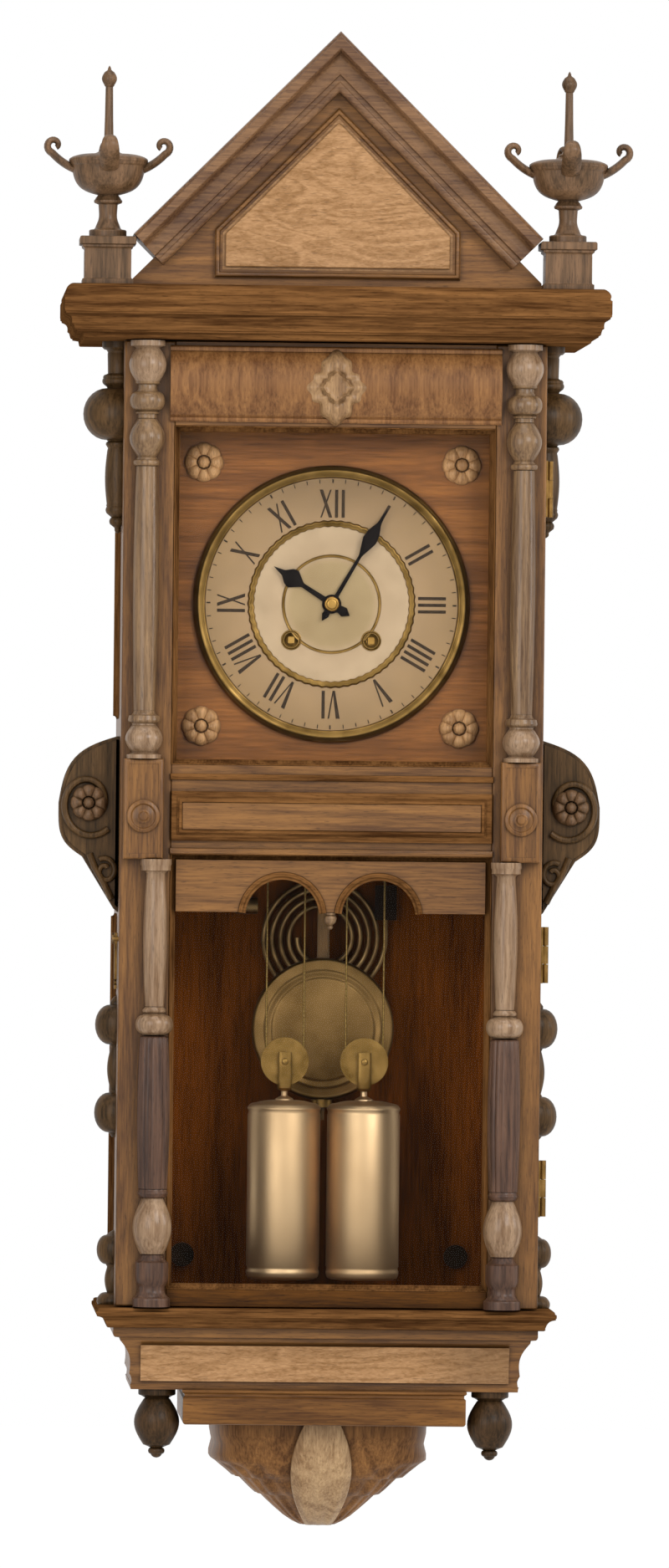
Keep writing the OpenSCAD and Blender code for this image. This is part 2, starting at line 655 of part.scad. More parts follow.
module strike_drum() color("#c9a24a") from_tip() drum(strike_at);
module time_great_wheel() color("#c9a24a") from_tip()
    wheel(time_at, time_wheel_y, wheel_t, great_r, 96, 2, 5, winder_r + fit);
module strike_great_wheel() color("#c9a24a") from_tip()
    wheel(strike_at, strike_wheel_y, wheel_t, great_r, 96, 2, 5, winder_r + fit);
module centre_wheel() color("#c9a24a") from_tip() {
    arbor(centre_at, arbor_r, plate_y1 + face_gap, front_y0 - face_gap);
    arbor(centre_at, pivot_r, plate_y0, front_y1 + 1);
    wheel(centre_at, centre_wheel_y, wheel_t, centre_r, 72, 1.6);
    pinion(centre_at, time_wheel_y - 1, 4, centre_pinion, 8);
    arbor(centre_at, cannon_tube_r, front_y1 + face_gap, minute_hand_y + hand_t + 1);
    pinion(centre_at, motion_y, 2, cannon_r, 10);
}
module third_wheel() color("#c9a24a") from_tip() {
    pivoted(third_at);
    wheel(third_at, third_wheel_y, wheel_t, third_r, 65, 1.4);
    pinion(third_at, centre_wheel_y - 1, 4, third_pinion, 6);
}
module escape_wheel() color("#c9a24a") from_tip() {
    pivoted(escape_at);
    wheel(escape_at, escape_wheel_y, 1.5, escape_r, 30, 2.4);
    pinion(escape_at, third_wheel_y - 1, 4, escape_pinion, 8);
}
module anchor() color("#8a8f94") from_tip() {
    pivoted(pallet_at);
    arbor(pallet_at, pivot_r, crutch_y, plate_y0 + 1);
    facing(escape_wheel_y - 1, escape_wheel_y + 3) translate([0, dial_z]) translate(escape_at) intersection() {
        difference() {
            circle(r = escape_r + pallet_gap + 5);
            circle(r = escape_r + pallet_gap);
        }
        polygon([[0, 0], [24, 20], [24, 40], [-24, 40], [-24, 20]]);
    }
    arbor(pallet_at, 4, crutch_y, crutch_y + 3);
    slab(-1.6, 1.6, crutch_y, crutch_y + 2.5, pivot_z - crutch_drop - 3, pivot_z);
    rod_y(0, pivot_z - crutch_drop, crutch_pin_r, pendulum_y - 3, crutch_y + 1);
}
module minute_wheel() color("#c9a24a") from_tip() difference() {
    union() {
        wheel(minute_at, motion_y, wheel_t, minute_wheel_r, 30, 1.2, 0);
        pinion(minute_at, motion_y + wheel_t, 3.4, minute_pinion, 8);
    }
    arbor(minute_at, pivot_r + fit, front_y1, hour_wheel_y + 4);
}
module hour_wheel() color("#c9a24a") from_tip() difference() {
    union() {
        wheel(centre_at, hour_wheel_y, wheel_t, hour_wheel_r, 32, 1.2, 0);
        arbor(centre_at, hour_pipe_r, hour_wheel_y, hour_hand_y + hand_t);
    }
    arbor(centre_at, cannon_tube_r + fit, hour_wheel_y - 1, hour_hand_y + hand_t + 1);
}

// Hands, pointing to the twelve and turned to the time
module hand(length, w, turn, y, bore) facing(y, y + hand_t) translate([0, dial_z]) rotate(-turn) difference() {
    union() {
        circle(r = bore + 3);
        polygon(mirrored([[w * 0.3, 0], [w * 0.22, length * 0.5], [w * 0.5, length * 0.56],
            [w, length * 0.66], [w * 0.86, length * 0.74], [w * 0.3, length * 0.83], [0, length]]));
        polygon(mirrored([[0, -bore - 12], [w * 0.5, -bore - 7], [w * 0.25, 0]]));
    }
    circle(r = bore);
}
module hour_hand() color("#20201f") from_tip() hand(52, 7.5, hour_turn, hour_hand_y, hour_pipe_r);
module minute_hand() color("#20201f") from_tip() hand(84, 5.5, minute_turn, minute_hand_y, cannon_tube_r);
module pin_wheel() color("#c9a24a") from_tip() {
    pivoted(pin_at);
    wheel(pin_at, pin_wheel_y, wheel_t, pin_wheel_r, 60, 1.2, 4);
    pinion(pin_at, strike_wheel_y - 1, 4, centre_pinion, 8);
    for (i = [0:7])
        arbor(pin_at + 12 * [cos(45 * i), sin(45 * i)], 0.8, pin_wheel_y + wheel_t, pin_wheel_y + 6);
}
module hammer() color("#8a8f94") from_tip() {
    pivoted(hammer_at);
    arbor(hammer_at, pivot_r, hammer_y - 3, plate_y0 + 1);
    slab(hammer_at[0], hammer_at[0] + 8, pin_wheel_y + wheel_t + 1, pin_wheel_y + wheel_t + 4,
        dial_z + hammer_at[1] - 1.5, dial_z + hammer_at[1] + 1.5);
    arbor(hammer_at, 4, hammer_y - 3, hammer_y + 3);
    translate([hammer_at[0], -hammer_y, hammer_bend_z])
        cylinder(r = 1.3, h = dial_z + hammer_at[1] - hammer_bend_z);
    rod_y(hammer_at[0], hammer_bend_z, 1.8, gong_y - 1.8, hammer_y + 1.8);
    translate([hammer_at[0], -gong_y, hammer_z]) cylinder(r = 1.3, h = hammer_bend_z - hammer_z);
    rod_x(hammer_at[0] - 6, -gong_r - gong_rod / 2 + 1.9 - hammer_clear, gong_y, hammer_z, hammer_r);
}

// Seat board on two iron brackets
module seat_board() color("#7a5530") from_tip() {
    difference() {
        slab(-seat_half, seat_half, seat_y0, seat_y1, seat_z - seat_t, seat_z);
        both_sides() translate([drum_x + line_r, -weight_y, seat_z - seat_t - 1])
            cylinder(r = 4, h = seat_t + 2);
    }
    both_sides() translate([hook_x, -weight_y, seat_z - seat_t - hook_drop]) cylinder(r = 2.2, h = hook_drop);
}
module iron_brackets() color("#3a3a3c") from_tip() both_sides() {
    along_x(seat_half - 2 - bracket_t, seat_half - 2) translate([0, seat_z - seat_t]) polygon(concat(
        [[-back_front, 0], [-back_front, -48]], quarter([-back_front - 8, -48], [4 - seat_y1, -8], true),
        [[4 - seat_y1, 0]]));
    slab(seat_half - 12, seat_half + 3, back_front, back_front + 3, seat_z - seat_t - 56, seat_z - seat_t);
}

// Coil gong: one rod that winds inwards, with a straight lead up into its block
function gong_radius(turn) = gong_r - gong_pitch * turn;
function gong_path() = concat(
    [for (z = [gong_lead, gong_lead / 2]) [gong_r, z]],
    [for (i = [0:gong_turns * gong_rings]) let (turn = i / gong_rings)
        gong_radius(turn) * [cos(360 * turn), -sin(360 * turn)]]);
module tube(path, r, sides) {
    n = len(path);
    function along(i) = let (d = path[min(i + 1, n - 1)] - path[max(i - 1, 0)]) d / norm(d);
    points = [for (i = [0:n - 1], k = [0:sides - 1]) let (d = along(i), a = 360 * k / sides)
        [path[i][0] + r * cos(a) * d[1], r * sin(a), path[i][1] - r * cos(a) * d[0]]];
    faces = concat([[for (k = [0:sides - 1]) k]], [[for (k = [sides - 1:-1:0]) (n - 1) * sides + k]],
        [for (i = [0:n - 2], k = [0:sides - 1], half = [0, 1]) let (a = i * sides + k,
            b = i * sides + (k + 1) % sides) half == 0 ? [a, a + sides, b + sides] : [a, b + sides, b]]);
    polyhedron(points, faces);
}
gong_points = gong_path();
module gong_coil() color("#5a5f63") from_tip()
    translate([0, -gong_y, gong_z]) tube(gong_points, gong_rod / 2, 6);
echo(gong_gap = min([for (i = [0:len(gong_points) - 1], j = [i + 8:len(gong_points) - 1])
    if (j < len(gong_points)) norm(gong_points[i] - gong_points[j])]) - gong_rod);
module gong_base() color("#3a3a3c") from_tip()
    slab(gong_r - gong_block_w / 2, gong_r + gong_block_w / 2, back_front, gong_y + 6, gong_z + gong_lead,
        gong_z + gong_lead + 26);

// Pendulum
module pendulum_rod() color("#7a5530") from_tip() difference() {
    union() {
        slab(-rod_w / 2, rod_w / 2, pendulum_y - rod_t / 2, pendulum_y + rod_t / 2,
            bob_z - bob_r + 6, pivot_z - 6);
        rod_y(0, pivot_z, 7, pendulum_y - rod_t / 2, pendulum_y + rod_t / 2);
        translate([0, -pendulum_y, bob_z - bob_r - 16]) cylinder(r = thread_r, h = 30);
    }
    rod_y(0, pivot_z, pivot_r + fit, 0, plate_y1);
    rod_y(0, pivot_z - crutch_drop, crutch_pin_r + face_gap, 0, plate_y1);
}
module pendulum_bob() color("#b58d4c") from_tip() difference() {
    translate([0, -pendulum_y, bob_z]) rotate([90, 0, 0]) rotate_extrude() polygon(concat([[0, -bob_t / 2]],
        arc([bob_r - 30, 0], 30, -18, 18, 6), [[0, bob_t / 2]]));
    slab(-rod_w / 2 - face_gap, rod_w / 2 + face_gap, pendulum_y - rod_t / 2 - face_gap,
        pendulum_y + rod_t / 2 + face_gap, bob_z - bob_r - 1, bob_z + bob_r + 1);
}
module rating_nut() color("#c9a24a") from_tip() difference() {
    translate([0, -pendulum_y, bob_z - bob_r - nut_h - face_gap]) cylinder(r = nut_r, h = nut_h);
    translate([0, -pendulum_y, bob_z - bob_r - nut_h - 2]) cylinder(r = thread_r + fit, h = nut_h + 4);
}

// Weights on their pulleys
module weight() {
    translate([0, -weight_y, weight_z0]) spindle(concat([[weight_r - 4, 0]],
        quarter([weight_r - 3, 0], [weight_r, 3], true), [[weight_r, 6], [weight_r - 0.8, 7],
        [weight_r - 0.8, 9], [weight_r, 10], [weight_r, weight_h - 10], [weight_r - 0.8, weight_h - 9],
        [weight_r - 0.8, weight_h - 7], [weight_r, weight_h - 6]],
        quarter([weight_r, weight_h - 4], [5, weight_h])));
    translate([0, -weight_y, weight_z1 - 2]) cylinder(r = 2.5, h = pulley_z - weight_z1 - pulley_rim);
    yoke = pulley_half + stirrup_gap + stirrup_t;
    slab(-5, 5, weight_y - yoke, weight_y + yoke, pulley_z - pulley_rim - 4, pulley_z - pulley_rim - 1);
    for (side = [-1, 1]) {
        y = weight_y + side * (pulley_half + stirrup_gap + stirrup_t / 2);
        slab(-5, 5, y - stirrup_t / 2, y + stirrup_t / 2, pulley_z - pulley_rim - 2, pulley_z + 6);
    }
    rod_y(0, pulley_z, pivot_r, weight_y - pulley_half - 2, weight_y + pulley_half + 2);
}
module pulley() difference() {
    translate([0, -weight_y, pulley_z]) rotate([90, 0, 0]) rotate_extrude() polygon([[0, -pulley_half],
        [pulley_rim, -pulley_half], [pulley_rim, -pulley_half + 1], [drum_r, -0.8], [drum_r, 0.8],
        [pulley_rim, pulley_half - 1], [pulley_rim, pulley_half], [0, pulley_half]]);
    rod_y(0, pulley_z, pivot_r + fit, weight_y - 2 * pulley_half, weight_y + 2 * pulley_half);
}
module cable() {
    top = dial_z + drum_drop;
    for (x = [-1, 1]) translate([x * line_r, -weight_y, pulley_z]) cylinder(d = cable_d,
        h = (x == 1 ? top : seat_z - seat_t - hook_drop) - pulley_z, $fn = 16);
    for (end = [[pulley_z, 180], [top, 0]]) translate([0, -weight_y, end[0]]) rotate([90, end[1], 0])
        rotate_extrude(angle = 180) translate([line_r, 0]) circle(d = cable_d, $fn = 16);
}
module time_weight() color("#c8a868") from_tip() translate([drum_x, 0, 0]) weight();
module strike_weight() color("#c8a868") from_tip() translate([-drum_x, 0, 0]) weight();
module time_pulley() color("#c9a24a") from_tip() translate([drum_x, 0, 0]) pulley();
module strike_pulley() color("#c9a24a") from_tip() translate([-drum_x, 0, 0]) pulley();
module time_cable() color("#b8a070") from_tip() translate([drum_x, 0, 0]) cable();
module strike_cable() color("#b8a070") from_tip() mirror([1, 0, 0]) translate([drum_x, 0, 0]) cable();

// Door
module frieze() along_x(-frieze_half, frieze_half) polygon(concat([[1 - door_front, top_rail_z0 + 7],
    [-door_front - 2, top_rail_z0 + 7]],
    [for (p = swell(2, 8, top_rail_z0 + 9, door_z1 - 5)) [-door_front - p[0], p[1]]],
    [[-door_front - 2, door_z1 - 3], [1 - door_front, door_z1 - 3]]));
module door_frame() color("#6f4c2c") from_tip() difference() {
    union() {
        slab(-case_half, case_half, door_back, door_front, door_z0, door_z1);
        frieze();
        slab(-light_half - 4, light_half + 4, door_front, door_front + 5, mid_rail_z0 + 14, mid_rail_z1 - 24);
        slab(-light_half - 4, light_half + 4, door_front, door_front + 8, mid_rail_z0 + 20, mid_rail_z1 - 32);
    }
    for (z = lights) {
        slab(-light_half, light_half, door_back - 1, door_front + 1, z[0], z[1]);
        slab(-light_half - rebate, light_half + rebate, door_back - 1, door_back + 4 + glass_t,
            z[0] - rebate, z[1] + rebate);
    }
}
module door_glass() color([0.8, 0.9, 0.95, 0.3]) from_tip() for (z = lights)
    slab(-light_half - rebate, light_half + rebate, door_back + 4, door_back + 4 + glass_t,
        z[0] - rebate, z[1] + rebate);
module door_arch() color("#7b5a3b") from_tip() difference() {
    slab(-light_half, light_half, door_back + 4 + glass_t, door_front - 2, mid_rail_z0 - arch_h, mid_rail_z0);
    both_sides() rod_y(arch_r + 3, mid_rail_z0 - arch_h - 3, arch_r, door_back, door_front + 1);
}
module door_columns() color("#8d705a") from_tip() intersection() {
    both_sides() {
        translate([upper_column_x, -column_y, 0]) {
            spindle(concat([[13, mid_rail_z1], [13, mid_rail_z1 + 3]],
                swell(9, 5, mid_rail_z1 + 4, mid_rail_z1 + 26), [[11.5, mid_rail_z1 + 27], [11.5, mid_rail_z1 + 32], [8, mid_rail_z1 + 34]],
                swell(8, 1.5, mid_rail_z1 + 36, door_z1 - 94), [[10, door_z1 - 93], [10, door_z1 - 89]],
                swell(7, 6, door_z1 - 87, door_z1 - 58), [[7, door_z1 - 54]],
                swell(8, 5.5, door_z1 - 53, door_z1 - 38), [[7, door_z1 - 34]],
                swell(9, 5, door_z1 - 31, door_z1 - 5), [[13, door_z1 - 4], [13, door_z1]]));
        }
        translate([lower_column_x, -column_y, 0]) {
            spindle(concat([[14, door_z0], [14, door_z0 + 5], [10, door_z0 + 14], [12.5, door_z0 + 26],
                [12.5, door_z0 + 34], [8, door_z0 + 37]], swell(9, 5.5, door_z0 + 40, door_z0 + 78),
                [[8, door_z0 + 82], [11, door_z0 + 86]], swell(11, 1.5, door_z0 + 88, door_z0 + 200),
                swell(9, 5, door_z0 + 203, door_z0 + 218), [[7, door_z0 + 221]],
                swell(7, 2, door_z0 + 224, mid_rail_z0 - 10), [[11, mid_rail_z0 - 8], [11, mid_rail_z0]]));
        }
    }
    slab(-case_half, case_half, door_front, door_front + 40, door_z0, door_z1);
}
module column_blocks() color("#6e4d30") from_tip() both_sides() {
    slab(upper_column_x - block_half, upper_column_x + block_half, door_front, column_y + 8,
        mid_rail_z0, mid_rail_z1);
    rod_y(upper_column_x, boss_z, 12, column_y + 8, column_y + 11);
    rod_y(upper_column_x, boss_z, 6, column_y + 11, column_y + 15);
}
module door_ornaments() color("#8c6d48") from_tip() {
    difference() {
        facing(door_front, door_front + 14) translate([0, (top_rail_z0 + door_z1) / 2]) polygon(mirrored(concat(
            [[2, -27]], quarter([2, -27], [17, -8], true), quarter([17, -8], [24, 8]),
            quarter([20, 12], [6, 28], true))));
        frieze();
    }
    translate([0, -door_front + 4.5, mid_rail_z0 - arch_h])
        spindle(hanging(concat([[4, 0]], swell(3, 2, 1, 8), [[1, 12]])));
}

// Hinges on the right side of the case, with the pin fixed in the case leaf
module hinge_leaf(z, y0, y1, lugs) {
    slab(case_half, case_half + leaf_t, y0, y1, z, z + hinge_h);
    for (lug = lugs) {
        translate([hinge_x, -hinge_y, z + lug[0]]) cylinder(r = knuckle_r, h = lug[1] - lug[0]);
        slab(case_half, hinge_x, max(y0, hinge_y - knuckle_r), min(y1, hinge_y + knuckle_r),
            z + lug[0], z + lug[1]);
    }
}
module case_hinges() for (z = hinge_zs) {
    hinge_leaf(z, case_depth - 20, hinge_y - leaf_gap, [[0, lug_end], [hinge_h - lug_end, hinge_h]]);
    translate([hinge_x, -hinge_y, z]) cylinder(r = hinge_pin_r, h = hinge_h);
}
module case_brasses() color("#a88345") from_tip() {
    case_hinges();
    rod_x(-case_half - 2 * face_gap - latch_t, -case_half, latch_y, latch_z, latch_pivot_r);
    rod_x(-case_half - 2 * face_gap - latch_t - 1.5, -case_half - 2 * face_gap - latch_t, latch_y, latch_z, 4);
}
module door_hinges() for (z = hinge_zs) difference() {
    hinge_leaf(z, hinge_y + leaf_gap, door_front - 3, [[lug_end + face_gap, hinge_h - lug_end - face_gap]]);
    translate([hinge_x, -hinge_y, z - 1]) cylinder(r = hinge_pin_r + fit, h = hinge_h + 2);
    translate([case_half + leaf_t, -hinge_y - 5, z - 1]) cube([9, 10, lug_end + face_gap + 1]);
    translate([case_half + leaf_t, -hinge_y - 5, z + hinge_h - lug_end - face_gap]) cube([9, 10, lug_end + 2]);
}
module door_brasses() color("#a88345") from_tip() {
    door_hinges();
    rod_x(-case_half - 4, -case_half, latch_y + latch_reach, latch_z, latch_stud_r);
}

// Hook on the left side, hanging open; it swings up under the stud on the door
function latch_point(u, v) = [-latch_y - v, latch_z - u];
module latch_hook() color("#a88345") from_tip() difference() {
    along_x(-case_half - face_gap - latch_t, -case_half - face_gap) difference() {
        polygon([for (p = concat([[-4, 4]], [[-4, -4], [latch_reach + 2, -5], [latch_reach + 5, -2],
            [latch_reach + 5, 5], [latch_reach + 2.2, 5], [latch_reach + 2.2, 2], [latch_reach - 2.2, 2],
            [latch_reach - 2.2, 3], [8, 3], [4, 4]])) latch_point(p[0], p[1])]);
        translate(latch_point(latch_reach, 0)) circle(r = latch_stud_r + face_gap);
        polygon([for (p = [[-1, 0], [1, 0], [1, 9], [-1, 9]])
            latch_point(latch_reach + p[0] * (latch_stud_r + face_gap), p[1])]);
    }
    rod_x(-case_half - 9, -case_half + 1, latch_y, latch_z, latch_pivot_r + fit);
}

backboard();
side_panels();
side_glass();
case_top();
base_shelf();
base_panel();
cornice();
gable_board();
gable_panel();
raking_cornices();
finials();
finial_leaves();
side_turnings();
ear_scrolls();
rosettes();
corbel();
turned_drops();
hanger_plate();
wall_screws();
dial_mask();
seat_board();
iron_brackets();
gong_base();
gong_coil();
dial_plate();
dial_enamels();
dial_numerals();
movement_frame();
case_brasses();
door_frame();
door_arch();
door_glass();
door_columns();
column_blocks();
door_ornaments();
door_brasses();
latch_hook();
time_drum();
time_great_wheel();
centre_wheel();
third_wheel();
escape_wheel();
anchor();
minute_wheel();
hour_wheel();
hour_hand();
minute_hand();
strike_drum();
strike_great_wheel();
pin_wheel();
hammer();
pendulum_rod();
pendulum_bob();
rating_nut();
time_weight();
strike_weight();
time_pulley();
strike_pulley();
time_cable();
strike_cable();
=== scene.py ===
# %% [markdown]
# # A wall regulator clock in walnut
# A weight-driven clock in a glazed case: gable on top, turned columns on the door, a round dial behind glass and
# a carved corbel below. This notebook dresses its exact solids with timber mouldings, turnings, carving and brass.
# A case maker measures up from the lowest tip, across from the middle and out from the wall, in millimetres, so
# every shape below is an array of (x, y, z) in those millimetres and becomes metres only when its mesh is made.

# %% Load the frame
import math
import bmesh
import bpy
import numpy as np
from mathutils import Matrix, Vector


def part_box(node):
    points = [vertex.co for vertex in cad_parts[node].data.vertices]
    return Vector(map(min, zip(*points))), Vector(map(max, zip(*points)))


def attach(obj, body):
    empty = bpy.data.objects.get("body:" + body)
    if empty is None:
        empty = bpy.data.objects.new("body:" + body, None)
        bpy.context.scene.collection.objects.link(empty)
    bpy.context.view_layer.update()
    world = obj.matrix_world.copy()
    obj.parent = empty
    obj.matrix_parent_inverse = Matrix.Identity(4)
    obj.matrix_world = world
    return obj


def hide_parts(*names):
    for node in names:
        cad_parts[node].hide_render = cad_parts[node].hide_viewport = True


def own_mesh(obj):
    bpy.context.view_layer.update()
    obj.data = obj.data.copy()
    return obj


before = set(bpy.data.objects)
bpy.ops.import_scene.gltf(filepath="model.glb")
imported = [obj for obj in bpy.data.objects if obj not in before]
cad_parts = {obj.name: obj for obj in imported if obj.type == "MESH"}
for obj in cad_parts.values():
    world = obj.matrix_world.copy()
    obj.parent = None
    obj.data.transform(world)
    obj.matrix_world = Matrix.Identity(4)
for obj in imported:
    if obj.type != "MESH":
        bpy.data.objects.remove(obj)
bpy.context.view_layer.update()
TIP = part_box("corbel")[0][2]

# %% [markdown]
# ## Camera, floor and light
# The photograph looks square at the door from far away, a hair to the left, so the lens is long. A white studio is
# a white world that only the camera, gloss and glass see; the object itself is lit by a dimmer world and four
# large soft lamps, so that a colour renders about as it is written.

# %% Camera
VIEW_DISTANCE = 9.0                    # metres from the front of the clock
FRAME_HEIGHT = 1.172                   # metres that the picture's height covers there
AZIMUTH, ROLL = math.radians(-2.3), math.radians(-0.62)      # how far to the left, and how far the view is rolled
AIM = (0.002, -0.17, TIP + 0.5625)


def placed(name, data):
    """A new object in the scene."""
    made = bpy.data.objects.new(name, data)
    bpy.context.scene.collection.objects.link(made)
    return made


camera = placed("camera", bpy.data.cameras.new("camera"))
bpy.context.scene.camera = camera
camera.data.lens = camera.data.sensor_width * VIEW_DISTANCE / FRAME_HEIGHT
camera.location = (AIM[0] + VIEW_DISTANCE * math.sin(AZIMUTH), AIM[1] - VIEW_DISTANCE * math.cos(AZIMUTH), AIM[2])
camera.rotation_euler = (math.radians(90), ROLL, AZIMUTH)
print("lens", round(camera.data.lens, 1), "mm")


# %% Colours and node trees
def linear(code):
    """sRGB hex to linear light: c / 12.92 below 0.04045, otherwise ((c + 0.055) / 1.055) to the power 2.4."""
    c = np.array([int(code[i:i + 2], 16) for i in (1, 3, 5)]) / 255
    return (*np.where(c < 0.04045, c / 12.92, ((c + 0.055) / 1.055) ** 2.4).tolist(), 1.0)


def add(tree, kind, inputs, output=0, **settings):
    """Adds one node and hands back one of its outputs. An input is given by name or number, as a value or as the
    socket that feeds it."""
    made = tree.nodes.new("ShaderNode" + kind)
    for name, value in settings.items():
        setattr(made, name, value)
    for name, value in inputs.items():
        if isinstance(value, bpy.types.NodeSocket):
            tree.links.new(value, made.inputs[name])
        else:
            made.inputs[name].default_value = value
    return made.outputs[output]


def calc(tree, operation, *values):
    return add(tree, "Math", dict(enumerate(values)), operation=operation)


def between(tree, value, low, high, at_low=0.0, at_high=1.0):
    """Carries low..high over to at_low..at_high and holds what lies beyond."""
    return add(tree, "MapRange", {"Value": value, "From Min": low, "From Max": high, "To Min": at_low,
                                  "To Max": at_high})


def blend(tree, share, first, second):
    """The first colour with a share of the second in its place."""
    first_in, second_in, out = 6, 7, 2             # the colour sockets of a Mix node
    return add(tree, "Mix", {0: share, first_in: first, second_in: second}, out, data_type="RGBA")


def well_seen(tree):
    """One for camera, glossy and transmission rays, nought for the rays that carry light about."""
    rays = tree.nodes.new("ShaderNodeLightPath").outputs
    through = calc(tree, "MAXIMUM", rays["Is Glossy Ray"], rays["Is Transmission Ray"])
    return calc(tree, "MAXIMUM", rays["Is Camera Ray"], through)


def emptied(owner):
    """The cleared node tree of a material or of the world."""
    owner.use_nodes = True
    owner.node_tree.nodes.clear()
    return owner.node_tree


def material(name):
    made = bpy.data.materials.new(name)
    return made, emptied(made)


def covered(owner, kind, inputs, output="OutputMaterial"):
    """Puts the last shader on the output of a material or of the world."""
    tree = owner.node_tree
    tree.links.new(add(tree, kind, inputs), tree.nodes.new("ShaderNode" + output).inputs["Surface"])
    return owner


# %% World
world = bpy.data.worlds.new("studio")
bpy.context.scene.world = world
sky = emptied(world)
WHITE, WARM, WORLD_LIGHT = (1.0, 1.0, 1.0, 1.0), (1.0, 0.98, 0.95, 1.0), 0.42
dim = add(sky, "Background", {"Color": WARM, "Strength": WORLD_LIGHT})
white = add(sky, "Background", {"Color": WHITE, "Strength": 1.0})
covered(world, "MixShader", {0: well_seen(sky), 1: dim, 2: white}, "OutputWorld")
bpy.context.scene.view_settings.view_transform = "Standard"
print("world ready")

# %% Lamps
# Each is a square area lamp: its place and size in metres, its power in watts. All face the upper half of the door.
LAMPS = {"key": ((1.4, -2.9, 0.9), 1.4, 50), "fill": ((-1.5, -2.9, 0.2), 1.8, 38),
         "rim": ((3.0, -0.7, 0.3), 1.0, 20), "top": ((0.0, -1.0, 2.4), 1.8, 26)}
LIT_SPOT = np.array((0.0, -0.1, -0.3))
for name, (place, size, watts) in LAMPS.items():
    lamp = placed(name, bpy.data.lights.new(name, "AREA"))
    lamp.data.size, lamp.data.energy = size, watts
    lamp.location = place
    toward = LIT_SPOT - np.array(place)
    lamp.rotation_euler = (math.acos(-toward[2] / np.linalg.norm(toward)), 0.0, math.atan2(-toward[0], toward[1]))
print("lamps:", *LAMPS)

# %% Floor
FLOOR_DROP, FLOOR_HALF = 0.25, 6.0     # metres below the tip, and from the middle to each edge
GLOW, GLOW_SHARE = 1.11, 0.85          # what makes the floor as white as the world where it is seen
corners = [(x * FLOOR_HALF, y * FLOOR_HALF, TIP - FLOOR_DROP) for x, y in ((-1, -1), (1, -1), (1, 1), (-1, 1))]
floor_mesh = bpy.data.meshes.new("floor")
floor_mesh.from_pydata(corners, [], [(0, 1, 2, 3)])
paint, tree = material("white studio floor paint")
shade = add(tree, "BsdfDiffuse", {"Color": (0.9, 0.9, 0.9, 1.0)})
glow = add(tree, "Emission", {"Color": WHITE, "Strength": GLOW})
lit = add(tree, "MixShader", {0: GLOW_SHARE, 1: shade, 2: glow})
floor_mesh.materials.append(covered(paint, "MixShader", {0: well_seen(tree), 1: shade, 2: lit}))
placed("floor", floor_mesh)
print("floor at", round(TIP - FLOOR_DROP, 3), "m")

# %% [markdown]
# ## Walnut
# Sawn walnut shows growth bands that wander, fibres drawn out along the grain and short dark pores, all under
# shellac. A slow noise whose contour lines are kept gives the bands, two noises stretched along the grain give
# fibres and pores, and ambient occlusion darkens the hollows: painted shade there, together with the wax and
# dust of a century.

# %% Timber
def object_place(tree):
    return add(tree, "TexCoord", {}, "Object")


def noise(tree, across, along, grain="Z", detail=2.0, distortion=0.0, roughness=0.5):
    """Noise in the object's own coordinates, in cells of across mm over the grain and along mm with it."""
    cells = [1000 / along if axis == grain else 1000 / across for axis in "XYZ"]
    where = add(tree, "Mapping", {"Vector": object_place(tree), "Scale": tuple(cells)})
    return add(tree, "TexNoise", {"Vector": where, "Scale": 1.0, "Detail": detail, "Roughness": roughness,
                                  "Distortion": distortion})


def bumped(tree, height, strength, distance):
    return add(tree, "Bump", {"Height": height, "Strength": strength, "Distance": distance})


CONTOURS, BAND_DEPTH = 38.0, 0.13      # how often the slow noise turns into a band, and how strongly one shows
TONES, PORES, OPEN = (0.45, 1.05), (0.6, 0.74), (0.15, 0.85)       # noise and openness where each effect sets in
# The last share is how much of the deep colour ambient occlusion paints into hollows: painted shade, together with wax
# and dust
DEEPEST, PORE_DARK, END_DARK, WAX_AND_SHADE_DARK = 0.3, 0.45, 0.42, 0.7      # of the dark colour, and the shares of that
WAX_AND_SHADE_REACH = 0.014                      # metres within which a wall makes a hollow
GRAIN_RELIEF, POLISH_RELIEF = (0.25, 0.0003), (0.12, 0.0002)       # strength and height in metres of the bumps
SHELLAC_ROUGHNESS = 0.16


